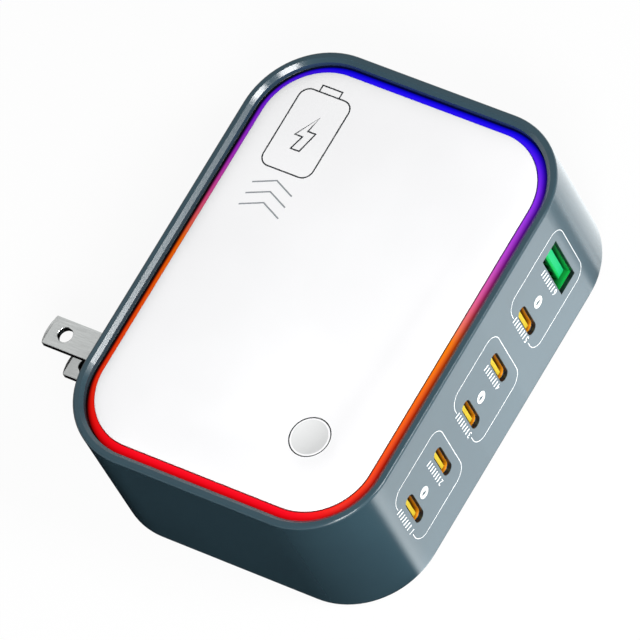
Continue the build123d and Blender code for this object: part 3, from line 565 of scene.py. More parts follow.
# The same blend, spark-eroded a little coarser where it is handled: slightly duller.
SLATE_PLUG = MouldedPlastic("moulded_pc_abs_slate_coarse", "#364d57", "#31464f", 0.36, 1.54, 0.3, 0.001, 10.0)
# Moulded white polycarbonate, fine satin: clean white with a broad, weak highlight.
WHITE_COVER = MouldedPlastic(
    "moulded_polycarbonate_white", "#f7f7f8", "#f4f4f5", 0.42, 1.58, 0.4, 0.0008, 22.0)
# Two-shot moulded ABS, satin: a cool grey face in a white edge that matches the cover, and a flank painted
# dark grey as shade.
TWO_SHOT_SHADED_BUTTON = TwoShotPlastic(
    "moulded_abs_two_shot_shaded_flank", "#dadbdb", "#f7f7f8", "#34393c", (-28.2, -15.9), (3.72, 4.05))
# Painted shade in the button's gap: a dull dark grey sleeve on the seat's wall, which renders darker still in
# the gap's shade.
GAP_SHADE_GREY = MouldedPlastic("painted_gap_shade_grey", "#2e3336", "#2a2f32", 0.6, 1.41, 0.3, 0.002, 3.0)
# Moulded flame-retardant polycarbonate: dull black frames and housings inside.
BLACK_FRAME = MouldedPlastic("moulded_polycarbonate_black", "#1c1e20", "#17181a", 0.5, 1.58, 0.3, 0.003, 8.0)
# Painted shade: smooth blue-black sheets in the sockets' mouths and on the walls beside the lit ring, where
# shade falls; they show a dim sheen.
SHADE_SHEET = MouldedPlastic(
    "painted_shade_blue_black", "#121a1e", "#0f161a", 0.3, 1.58, 0.3, 0.0005, 4.0)
# Moulded epoxy of chip and bridge packages: matt near-black.
EPOXY_PACKAGE = MouldedPlastic("moulded_epoxy_black", "#18191a", "#121313", 0.55, 1.55, 0.2, 0.004, 4.0)
# Cast flame-retardant polyester box of a line capacitor: warm semi-gloss yellow.
YELLOW_BOX = MouldedPlastic("moulded_polyester_yellow", "#d9a92a", "#cf9d20", 0.35, 1.55, 0.3, 0.002, 8.0)
# Shrunk PVC sleeve on a capacitor can: glossy dark blue-black.
SHRUNK_SLEEVE = MouldedPlastic("shrunk_pvc_sleeve", "#20304a", "#1b2941", 0.22, 1.53, 0.5, 0.002, 7.0)
# Pressed and sintered ferrite: matt dark grey with a coarse mineral grain.
FERRITE = MouldedPlastic("sintered_ferrite", "#34363a", "#2a2c2f", 0.6, 1.7, 0.25, 0.008, 3.0)
# Moulded silicone and phosphor of small white lamps: pale yellowish and dull.
LAMP_PHOSPHOR = MouldedPlastic("cast_phosphor_lamp", "#f1e6b4", "#e9dba0", 0.4, 1.46, 0.3, 0.002, 2.0)
# Cast polyimide film: clear amber and smooth.
POLYIMIDE = MouldedPlastic("cast_polyimide_film", "#b06a12", "#9c5c0e", 0.2, 1.7, 1.0, 0.001, 9.0)
# White flat ribbon cable jacket, extruded PVC.
WHITE_RIBBON = MouldedPlastic("extruded_pvc_white", "#e4e4e0", "#d8d8d4", 0.45, 1.53, 0.5, 0.004, 6.0)
# Orange glass-filled nylon of the narrow sockets: a painted yellow highlight on the edge, orange walls, and
# painted brown shade in the depths and higher up.
ORANGE_TONGUE = SocketPlastic("moulded_nylon_orange", "#d2b628", "#8a4e08", "#4a2204", -34.05, 0.12)
ORANGE_LINING = SocketPlastic(
    "moulded_nylon_orange_lining", "#e0900e", "#c07408", "#3a1a04", -34.3, 1.9, 0.5, (12.4, 20.4))
# Green glass-filled nylon of the wide socket: a painted pale highlight in front, and painted shade deeper in
# and higher up.
GREEN_TONGUE = SocketPlastic("moulded_nylon_green", "#08b26a", "#06b64c", "#0a8a3c", -33.8, 0.9)
GREEN_LINING = SocketPlastic("moulded_nylon_green_lining", "#04a442", "#048c36", "#034a1e", -34.3, 2.6, 0.9)
# Nickel-plated brass, stamped and tumbled: soft grey mirror with faint lines along the blade.
NICKEL_BLADE = WorkedMetal("plated_nickel_stamped", "#e4e7e6", "#dde0df", 0.2, 0.14, 0.0001, Along.Y)
# Deep-drawn tin-plated steel of socket shells and screws.
TIN_STEEL = WorkedMetal("plated_steel_drawn", "#c3c4c5", "#b2b3b5", 0.32, 0.15, 0.001, Along.Y)
# Hard gold over nickel on contact strips.
GOLD_CONTACT = WorkedMetal("plated_gold_contact", "#e2b45a", "#d6a54a", 0.25, 0.1, 0.0005, Along.Y)
# Black nickel on the wide socket's springs: a dark mirror that takes the green round it.
BLACK_CONTACT = WorkedMetal("plated_black_nickel_contact", "#3a4440", "#323b37", 0.3, 0.1, 0.0005, Along.Y)
# Rolled aluminium sheet of the heat spreader.
ROLLED_ALUMINIUM = WorkedMetal("rolled_aluminium_sheet", "#c9cbcc", "#b9bbbd", 0.4, 0.2, 0.0015, Along.Y)
# Green solder lacquer over glass cloth, and the white one that throws light into the ring.
GREEN_BOARD = LacqueredBoard("lacquered_glass_epoxy_green", "#1f6b3c", "#185730")
WHITE_BOARD = LacqueredBoard("lacquered_glass_epoxy_white", "#e9e9e4", "#dcdcd6")
COPPER_WINDING = WoundWire("wound_enamelled_copper", "#c9743a", "#6e3413", 0.5, Along.Z)
# Pad-printed epoxy inks.
WHITE_INK = PrintedInk("printed_ink_white", "#f4f5f5", "#eceeee")
SLATE_INK = PrintedInk("printed_ink_slate", "#42565f", "#3c5059")
DARK_INK = PrintedInk("printed_ink_charcoal", "#2b2f33", "#25292c")
GREY_INK = PrintedInk("printed_ink_grey", "#8e9397", "#868b8f")
# Opal polycarbonate, lit from behind by coloured lamps: red, orange, violet and blue by turns.
LIT_RING = LitDiffuser("moulded_opal_polycarbonate_lit", (
    (-44.0, "#ff0a22"), (-38.0, "#fc2c18"), (0.0, "#fb8002"), (10.0, "#e35f99"), (20.0, "#ba42cf"),
    (34.0, "#822aea"), (44.0, "#1a08f0")))


def rounded_loop(half_x: float, half_y: float, radius: float, per_corner: int) -> list[Point]:
    """Points of a rounded rectangle, counter-clockwise from the start of its first corner.

    Args:
        half_x: half its length in mm.
        half_y: half its width in mm.
        radius: radius of its corners in mm.
        per_corner: number of steps round each corner.

    Returns:
        The points in mm.
    """
    points = []
    for quarter, (sx, sy) in enumerate(QUARTERS):
        for step in range(per_corner + 1):
            angle = math.pi / 2 * (quarter + step / per_corner)
            points.append((sx * (half_x - radius) + radius * math.cos(angle),
                           sy * (half_y - radius) + radius * math.sin(angle)))
    return points


def circle_loop(centre: Point, radius: float, count: int) -> list[Point]:
    """Points of a circle in mm, counter-clockwise."""
    turns = [2 * math.pi * i / count for i in range(count)]
    return [(centre[0] + radius * math.cos(t), centre[1] + radius * math.sin(t)) for t in turns]


def inset_loop(points: Sequence[Point], distance: float, mitre: float = 0.2) -> list[Point]:
    """Draw in a counter-clockwise loop by a distance, keeping its corners.

    Args:
        points: the loop's points in mm.
        distance: how far it is drawn in, in mm.
        mitre: share of the distance that holds back sharp corners.

    Returns:
        As many points as before.
    """
    drawn = []
    for i, here in enumerate(points):
        before = Vector(here) - Vector(points[i - 1])
        after = Vector(points[(i + 1) % len(points)]) - Vector(here)
        normals = [Vector((-way.y, way.x)).normalized() for way in (before, after)]
        middle = (normals[0] + normals[1]) / 2
        drawn.append(tuple(Vector(here) + middle * distance / max(middle.length_squared, mitre)))
    return drawn


def rounded_edge(size: float, top: float, radius: float, steps: int) -> list[Point]:
    """Give the section of a rounded upper edge, from its side to its top.

    Args:
        size: inset or radius of the side in mm.
        top: level of the top in mm.
        radius: the rounding in mm, below zero where the size falls towards the top.
        steps: number of steps.

    Returns:
        Insets or radii, and heights, in mm.
    """
    turns = [math.pi / 2 * step / steps for step in range(steps + 1)]
    return [(size + radius * (1 - math.cos(t)), top - abs(radius) * (1 - math.sin(t))) for t in turns]


class Builder:
    """Collects the faces of one piece in a bmesh, in millimetres of the CAD frame."""

    def __init__(self) -> None:
        """Start with no faces."""
        self.mesh = bmesh.new()

    def loop(self, points: Iterable[Sequence[float]]) -> Verts:
        """Add the points of a loop, in mm, and give its vertices."""
        return [self.mesh.verts.new(Vector(p) * MM) for p in points]

    def bridge(self, low: Verts, high: Verts, closed: bool = True) -> None:
        """Join two loops of as many vertices by a band of faces.

        Args:
            low: the first loop; seen from outside, it runs to the right below the other.
            high: the second loop.
            closed: whether the band runs on from the last vertex to the first.
        """
        for i in range(len(low) if closed else len(low) - 1):
            j = (i + 1) % len(low)
            self.mesh.faces.new((low[i], low[j], high[j], high[i]))

    def levels(self, outline: Outline, profile: Iterable[Point]) -> list[Verts]:
        """Add one level loop for each step of a profile.

        Args:
            outline: gives the loop's plan for an inset or a radius.
            profile: the steps, as inset or radius and height, in mm.

        Returns:
            The loops' vertices.
        """
        return [self.loop((*p, z) for p in outline(size)) for size, z in profile]

    def skin(self, loops: list[Verts], closed: bool = False, inward: bool = False) -> None:
        """Join each loop to the next one by a band of faces.

        Args:
            loops: loops of as many vertices.
            closed: whether the last loop joins the first.
            inward: whether the faces look the other way.
        """
        for low, high in zip(loops, loops[1:] + loops[:1] if closed else loops[1:]):
            self.bridge(*((high, low) if inward else (low, high)))

    def fill(self, *loops: Verts, up: bool = True) -> None:
        """Fill a flat outline, leaving out the loops inside it.

        Args:
            loops: the outline and any holes.
            up: whether the faces look up, along +Z, or down.
        """
        edges = []
        for loop in loops:
            for i, vertex in enumerate(loop):
                pair = (loop[i - 1], vertex)
                edges.append(self.mesh.edges.get(pair) or self.mesh.edges.new(pair))
        made = bmesh.ops.triangle_fill(self.mesh, edges=edges, use_beauty=True)["geom"]
        for face in made:
            if isinstance(face, bmesh.types.BMFace):
                face.normal_update()
                if (face.normal.z > 0) != up:
                    face.normal_flip()

    def face(self, vertices: Verts) -> None:
        """Add one face."""
        self.mesh.faces.new(vertices)

    def place(self, name: str, finish: Finish) -> bpy.types.Object:
        """Turn the faces into an object of the scene.

        Args:
            name: the object's name.
            finish: its finish.

        Returns:
            The object.
        """
        data = bpy.data.meshes.new(name)
        self.mesh.to_mesh(data)
        self.mesh.free()
        data.materials.append(finish.material())
        data.shade_smooth()
        made = bpy.data.objects.new(name, data)
        bpy.context.scene.collection.objects.link(made)
        return made

    def stand(self, name: str, finish: Finish) -> bpy.types.Object:
        """Turn the faces into a piece of the studio, which isn't part of the object.

        Args:
            name: its name.
            finish: its finish.

        Returns:
            The piece.
        """
        made = self.place(name, finish)
        LOG.info("stage %s", name)
        return made

    def piece(self, name: str, finish: Finish, body: Body, slot: Slot, stands_for: Sequence[str] = (),
              smooth_deg: float = 35.0) -> None:
        """Turn the faces into a piece of the part.

        Args:
            name: the piece's name.
            finish: its finish.
            body: the body that it rides on.
            slot: the record's material slot; not used.
            stands_for: CAD nodes that it replaces.
            smooth_deg: edges that turn by more than this stay sharp.
        """
        bmesh.ops.recalc_face_normals(self.mesh, faces=self.mesh.faces)
        made = self.place(name, finish)
        made.data.set_sharp_from_angle(angle=math.radians(smooth_deg))
        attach(made, body.value)
        if stands_for:
            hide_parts(*stands_for)
        LOG.info("piece %s: %d faces, rides on %s", name, len(made.data.polygons), body.value)


def dress(finish: Finish, *nodes: str) -> None:
    """Give CAD nodes a finish.

    Args:
        finish: the finish.
        nodes: the nodes' names.
    """
    for name in nodes:
        for place in frame["nodes"][name].material_slots:
            place.material = finish.material()
        LOG.info("node %s: %s", name, finish.name)


def build_band(name: str, outline: Outline, corners: Sequence[Point], finish: Finish) -> None:
    """Build a thin dark band on an upright wall of the case, which paints shade on it.

    Args:
        name: the piece's name.
        outline: gives the band's plan for an inset or a radius.
        corners: its four corners, as inset or radius and height, in mm.
        finish: its finish.
    """
    made = Builder()
    made.skin(made.levels(outline, corners), closed=True)
    made.piece(name, finish, Body.CASE, Slot.DARK_PLASTIC)


@dataclass
class Housing:
    """The moulded tub: its plan sizes are shared by the pieces that lie in its mouth."""

    half_x: float = 47.5
    half_y: float = 35.25
    corner: float = 17.0
    corner_steps: int = 28
    wall: float = 2.1
    band: float = 0.03
    band_z: Point = (28.4, 29.6)

    def build(self) -> None:
        """Dress the tub, which keeps its CAD shape, and paint shade with a dark band on its mouth's wall
        beside the lit ring.
        """
        dress(SLATE_CASE, "housing")
        low, high = self.band_z
        inside = self.wall + self.band
        # Painted shade: a thin dark band on the rim's inner wall beside the lit ring.
        build_band("rim_edge_shade_band", self.outline, (
            (self.wall, low), (self.wall, high), (inside, high - self.band), (inside, low)), SHADE_SHEET)

    def outline(self, inset: float) -> list[Point]:
        """Give the points of the plan, drawn in by an inset, in mm."""
        return rounded_loop(self.half_x - inset, self.half_y - inset, self.corner - inset, self.corner_steps)

    def on_front(self, x: float, z: float, lift: float) -> Vector:
        """Place a point of the print on the front wall and round its corners.

        Args:
            x: place along the wall from its middle, in mm.
            z: height in mm.
            lift: height above the wall's surface in mm.

        Returns:
            The point in mm.
        """
        flat = self.half_x - self.corner
        if abs(x) <= flat:
            return Vector((x, -self.half_y - lift, z))
        angle = (abs(x) - flat) / self.corner
        reach = self.corner + lift
        across = math.copysign(flat + reach * math.sin(angle), x)
        return Vector((across, -(self.half_y - self.corner) - reach * math.cos(angle), z))


@dataclass
class TopCover:
    """The white cover: a flat top that falls off softly towards its edge, with the button's seat."""

    housing: Housing
    inset: float = 4.2
    edge_z: float = 30.6
    edge_round: float = 0.2
    edge_steps: int = 5
    crown: float = 0.3
    fall_off: float = 1.2
    crown_run: float = 7.0
    crown_steps: int = 18
    crown_power: float = 1.6
    under_z: float = 29.2
    button: Point = (-28.2, -15.9)
    seat_radius: float = 4.3
    seat_land: float = 0.5
    seat_rise: Point = (0.4, 0.06)
    lip_round: float = 0.03
    band: float = 0.03
    band_z: Point = (29.3, 30.42)
    seal: float = 0.04
    pegs: Point = (22.0, 24.5)
    peg_levels: Spot = (29.2, 26.55, 24.25)
    peg_radii: Point = (1.8, 1.0)
    peg_round: float = 0.2
    peg_circle: int = 24

    def height(self, run: float) -> float:
        """Height of the top at a distance in from the edge's rounding, in mm."""
        return self.edge_z + self.crown * (1 - math.exp(-max(run, 0.0) / self.fall_off))

    def top(self) -> float:
        """Level of the flat top, in mm."""
        return self.height(self.crown_run)

    def seat_loop(self, radius: float) -> list[Point]:
        """Circle round the button's middle, in mm."""
        return circle_loop(self.button, radius, FINE_CIRCLE)

    def profile(self) -> list[Point]:
        """Give the cover's section from its underside over its edge to the flat top.

        Returns:
            Insets and heights in mm.
        """
        edge = rounded_edge(self.inset, self.edge_z, self.edge_round, self.edge_steps)
        shares = [step / self.crown_steps for step in range(1, self.crown_steps + 1)]
        runs = [self.crown_run * share ** self.crown_power for share in shares]
        crown = [(self.inset + self.edge_round + run, self.height(run)) for run in runs]
        return [(self.inset, self.under_z), *edge, *crown]

    def build(self) -> None:
        """Build the cover from its edge inwards in place of the plain solid, and its dark bands of painted
        shade.
        """
        made = Builder()
        loops = made.levels(self.housing.outline, self.profile())
        made.skin(loops)
        lip = self.top() - self.seat_rise[1]
        hole, land = self.seat_radius, self.seat_radius + self.seat_land
        rings = made.levels(self.seat_loop, (
            (hole, self.under_z), (hole, lip - self.lip_round), (hole + self.lip_round, lip), (land, lip),
            (land + self.seat_rise[0], self.top())))
        made.skin(rings, inward=True)
        made.fill(loops[-1], rings[-1])
        made.fill(loops[0], rings[0], *self.build_pegs(made), up=False)
        made.piece("top_cover_skin", WHITE_COVER, Body.CASE, Slot.WHITE_PLASTIC, ["top_cover"],
                   smooth_deg=30.0)
        low, high = self.band_z
        outside = self.inset - self.band
        # Painted shade: a thin dark band on the cover's edge, in the gap beside the ring.
        build_band("cover_edge_shade_band", self.housing.outline, (
            (self.inset, low), (outside, low), (outside, high - self.band), (self.inset, high)), SHADE_SHEET)
        # Painted shade: a thin dark grey sleeve on the seat's wall, in the button's gap.
        inside = hole - self.seal
        build_band("button_gap_shade", self.seat_loop, (
            (hole, low), (hole, lip - self.seal), (inside, lip - 2 * self.seal), (inside, low)), GAP_SHADE_GREY)

    def build_pegs(self, made: Builder) -> list[Verts]:
        """Build the four pegs that pass through the light board.

        Args:
            made: the cover's mesh.

        Returns:
            The loops where the pegs meet the cover's underside.
        """
        top, ledge, foot = self.peg_levels
        wide, thin = self.peg_radii
        steps = ((wide, top), (wide, ledge), (thin, ledge), (thin, foot + self.peg_round),
                 (thin - self.peg_round, foot))
        roots = []
        for sx, sy in QUARTERS:
            centre = (sx * self.pegs[0], sy * self.pegs[1])
            rings = made.levels(partial(circle_loop, centre, count=self.peg_circle), steps)
            made.skin(rings, inward=True)
            made.fill(rings[-1], up=False)
            roots.append(rings[0])
        return roots


@dataclass
class LightRing:
    """The lit ring: an outer flank that rises to a rounded crest beside the cover."""

    housing: Housing
    profile: tuple[Point, ...] = (
        (4.07, 25.75), (2.4, 25.75), (2.4, 29.2), (2.46, 29.34), (2.7, 29.56), (3.0, 29.83), (3.3, 30.1),
        (3.5, 30.27), (3.63, 30.37), (3.74, 30.43), (3.84, 30.44), (3.93, 30.41), (4.01, 30.34),
        (4.05, 30.26), (4.07, 30.16))

    def build(self) -> None:
        """Sweep the profile round the case, and replace the plain solid."""
        made = Builder()
        made.skin(made.levels(self.housing.outline, self.profile), closed=True)
        made.piece("light_ring_guide", LIT_RING, Body.CASE, Slot.LIT_DIFFUSER, ["light_ring"],
                   smooth_deg=40.0)


@dataclass
class PushButton:
    """The push button: a dished grey face inside a pale flat edge, on the plunger of a small switch."""

    centre: Point = (-28.2, -15.9)
    radius: float = 4.1
    top_z: float = 30.8
    edge: float = 0.1
    edge_steps: int = 4
    face_radius: float = 3.74
    dish: float = 0.4
    dish_steps: int = 13
    flange_radius: float = 4.95
    flange_z: Point = (28.6, 29.1)
    stem_radius: float = 1.5
    stem_z: float = 28.05

    def build(self) -> None:
        """Build the cap in place of its plain solid, and dress the parts under it."""
        low, high = self.flange_z
        shares = [1 - step / self.dish_steps for step in range(self.dish_steps)]
        profile = [(self.stem_radius, self.stem_z), (self.stem_radius, low), (self.flange_radius, low),
                   (self.flange_radius, high), (self.radius, high),
                   *rounded_edge(self.radius, self.top_z, -self.edge, self.edge_steps),
                   *((self.face_radius * s, self.top_z - self.dish * (1 - s ** 2)) for s in shares)]
        made = Builder()
        rings = made.levels(partial(circle_loop, self.centre, count=FINE_CIRCLE), profile)
        made.skin(rings)
        made.fill(rings[0], up=False)
        made.face(rings[-1])
        made.piece("button_cap_skin", TWO_SHOT_SHADED_BUTTON, Body.BUTTON, Slot.WHITE_PLASTIC, ["button_cap"],
                   smooth_deg=30.0)
        dress(BLACK_FRAME, "switch_plunger", "push_switch")


@dataclass
class Sockets:
    """Five narrow sockets and a wide one: steel shells, moulded tongues and coloured linings."""

    xs: tuple[float, ...] = (-28.8, -17.92, -7.04, 3.84, 14.72)
    wide_x: float = 27.08
    z: float = 16.4
    mouth_y: float = -34.3
    narrow: Point = (2.66, 8.34)
    narrow_depth: float = 7.2
    wide: Point = (5.12, 12.5)
    wide_depth: float = 11.6
    wide_corner: float = 0.2
    lining: float = 0.1
    lining_gap: float = 0.01
    mouth_round: float = 0.06
    narrow_mouth: Point = (2.75, 8.7)
    wide_mouth: Point = (5.15, 12.6)
    wide_mouth_corner: float = 0.15
    round_share: float = 0.49
    corner_steps: int = 10
    wall_y: float = -35.25
    bezel: float = 0.04
    bezel_recess: float = 0.05
    shell_depth: float = 13.2
    tongue: Point = (1.84, 10.7)
    tongue_shift: float = 0.74
    tongue_recess: float = 0.5
    tongue_bevel: Point = (0.4, 1.0)
    block_gap: float = 0.02
    block_corner: float = 0.15
    block_steps: int = 4

    def build(self) -> None:
        """Dress the CAD nodes and line each shell."""
        numbers = range(1, len(self.xs) + 1)
        dress(TIN_STEEL, *(f"usb_c_shell_{i}" for i in numbers), "usb_a_shell")
        dress(ORANGE_TONGUE, *(f"usb_c_tongue_{i}" for i in numbers))
        dress(GOLD_CONTACT, "usb_c_contacts")
        dress(BLACK_CONTACT, "usb_a_contacts")
        inside, mouth = self.narrow[0] * self.round_share, self.narrow_mouth[0] * self.round_share
        for number, x in zip(numbers, self.xs):
            self.line(f"usb_c_lining_{number}", x, self.narrow, inside, self.narrow_depth, ORANGE_LINING)
            self.frame(f"usb_c_mouth_shade_{number}", x, self.narrow_mouth, mouth)
        self.line("usb_a_lining", self.wide_x, self.wide, self.wide_corner, self.wide_depth, GREEN_LINING)
        self.frame("usb_a_mouth_shade", self.wide_x, self.wide_mouth, self.wide_mouth_corner)
        self.wide_tongue()

    def wide_tongue(self) -> None:
        """Build the wide socket's tongue with its bevelled front, and replace the plain solid."""
        made = Builder()
        x, wide, tall = self.wide_x + self.tongue_shift, self.tongue[0] / 2, self.tongue[1] / 2
        front, root = self.mouth_y + self.tongue_recess, self.mouth_y + self.wide_depth
        side, end = self.tongue_bevel
        plain = [(wide, tall), (-wide, tall), (-wide, -tall), (wide, -tall)]
        small = [(wide, tall), (side - wide, tall), (side - wide, end - tall), (wide, end - tall)]
        block = rounded_loop(self.wide[0] / 2 - self.block_gap, self.wide[1] / 2 - self.block_gap,
                             self.block_corner, self.block_steps)
        shells = (((plain, x, root), (plain, x, front + side), (small, x, front)),
                  ((block, self.wide_x, self.mouth_y + self.shell_depth), (block, self.wide_x, root)))
        for shell in shells:
            loops = [made.loop((middle + u, y, self.z + v) for u, v in section)
                     for section, middle, y in shell]
            made.skin(loops)
            made.face(loops[0])
            made.face(loops[-1])
        made.piece("usb_a_tongue_moulding", GREEN_TONGUE, Body.CASE, Slot.GREEN_PLASTIC, ["usb_a_tongue"])

    def sleeve(self, x: float, section: Sequence[Point], steps: Iterable[Point]) -> Builder:
        """Build a thin sleeve that lies round the inside of one socket.

        Args:
            x: place of the socket along the wall, in mm.
            section: outline of its inside, in mm.
            steps: how far each loop of the sleeve is drawn in and where it lies along Y, in mm.

        Returns:
            The sleeve's mesh.
        """
        made = Builder()
        loops = []
        for inset, y in steps:
            loops.append(made.loop((x + u, y, self.z + v) for u, v in inset_loop(section, inset)))
        made.skin(loops, closed=True)
        return made

    def frame(self, name: str, x: float, size: Point, corner: float) -> None:
        """Build the thin dark sheet of painted shade that lines the wall's opening in front of one shell.

        Args:
            name: the piece's name.
            x: place of the socket along the wall, in mm.
            size: the opening, across and up, in mm.
            corner: corner radius of the opening, in mm.
        """
        section = rounded_loop(size[0] / 2, size[1] / 2, corner, self.corner_steps)
        front, back, thick = self.wall_y + self.bezel_recess, self.mouth_y, self.bezel
        made = self.sleeve(x, section, ((0.0, back), (0.0, front), (thick, front + thick), (thick, back)))
        # Painted shade: the opening's wall is lined dark.
        made.piece(name, SHADE_SHEET, Body.CASE, Slot.DARK_PLASTIC)

    def line(self, name: str, x: float, size: Point, corner: float, depth: float,
             finish: SocketPlastic) -> None:
        """Build the thin moulded lining of one shell, open at its mouth; its finish paints shade deeper in.

        Args:
            name: the piece's name.
            x: place of the socket along the wall, in mm.
            size: the shell's inside, across and up, in mm.
            corner: corner radius of the shell's inside, in mm.
            depth: how far the lining reaches in, in mm.
            finish: its finish.
        """
        section = rounded_loop(size[0] / 2 - self.lining_gap, size[1] / 2 - self.lining_gap, corner,
                               self.corner_steps)
        soft, thick = self.mouth_round, self.lining
        steps = ((0.0, depth), (0.0, soft), (soft, 0.0), (thick, soft), (thick, depth))
        made = self.sleeve(x, section, ((inset, self.mouth_y + back) for inset, back in steps))
        slot = Slot.ORANGE_PLASTIC if finish is ORANGE_LINING else Slot.GREEN_PLASTIC
        made.piece(name, finish, Body.CASE, slot)


@dataclass
class Print:
    """Plain pad print: thin films of ink that lie on a surface."""

    housing: Housing
    film: float = 0.02
    line: float = 0.14
    mitre: float = 0.3
    corner_steps: int = 12
    bolt_height: float = 1.5
    bolt_turn: float = 90.0

    def ribbon(self, made: Builder, path: Sequence[Point], place: Placing, closed: bool = False) -> None:
        """Draw a line of ink along a path.

        Args:
            made: the mesh that gets the line.
            path: its middle line in the surface, in mm.
            place: gives the point in space for a place in the surface and a height above it.
            closed: whether the line joins its own start.
        """
        sides: list[list[Vector]] = [[], [], [], []]
        count = len(path)
        for i, here in enumerate(path):
            before = path[i - 1] if i or closed else None
            after = path[(i + 1) % count] if i < count - 1 or closed else None
            ways = [Vector(b) - Vector(a) for a, b in ((before, here), (here, after)) if a and b]
            normals = [Vector((-way.y, way.x)).normalized() for way in ways]
            middle = sum(normals, Vector((0, 0))) / len(normals)
            step = middle * (self.line / 2) / max(middle.length_squared, self.mitre)
            for side, (sign, lift) in zip(sides, ((-1, 0), (-1, 1), (1, 1), (1, 0))):
                point = Vector(here) + sign * step
                side.append(place(point.x, point.y, lift * self.film))
        loops = [made.loop(side) for side in sides]
        for low, high in zip(loops, loops[1:] + loops[:1]):
            made.bridge(low, high, closed)
        if not closed:
            made.face([loop[0] for loop in loops])
            made.face([loop[-1] for loop in reversed(loops)])

    def patch(self, made: Builder, outline: Sequence[Point], place: Placing, low: float = 0.0) -> None:
        """Print a filled outline.

        Args:
            made: the mesh that gets the patch.
            outline: its points in the surface, in mm, counter-clockwise.
            place: gives the point in space for a place in the surface and a height above it.
            low: height of the film's underside above the surface, in mm.
        """
        under = made.loop(place(u, v, low) for u, v in outline)
        over = made.loop(place(u, v, low + self.film) for u, v in outline)
        made.bridge(under, over)
        for loop, back in ((over, False), (under, True)):
            made.face(list(reversed(loop)) if back else loop)
        bmesh.ops.triangulate(made.mesh, faces=[f for f in made.mesh.faces if len(f.verts) > 4])

    def bolt(self, centre: Point) -> list[Point]:
        """Outline of a plain lightning bolt.

        Args:
            centre: its middle in mm.

        Returns:
            Its points, counter-clockwise.
        """
        shape = ((-0.1, 0.5), (-0.25, -0.06), (-0.02, -0.06), (-0.12, -0.5), (0.25, 0.12), (0.03, 0.12),
                 (0.15, 0.5))
        spin = Matrix.Rotation(math.radians(self.bolt_turn), 2)
        return [tuple(Vector(centre) + spin @ Vector(p) * self.bolt_height) for p in shape]


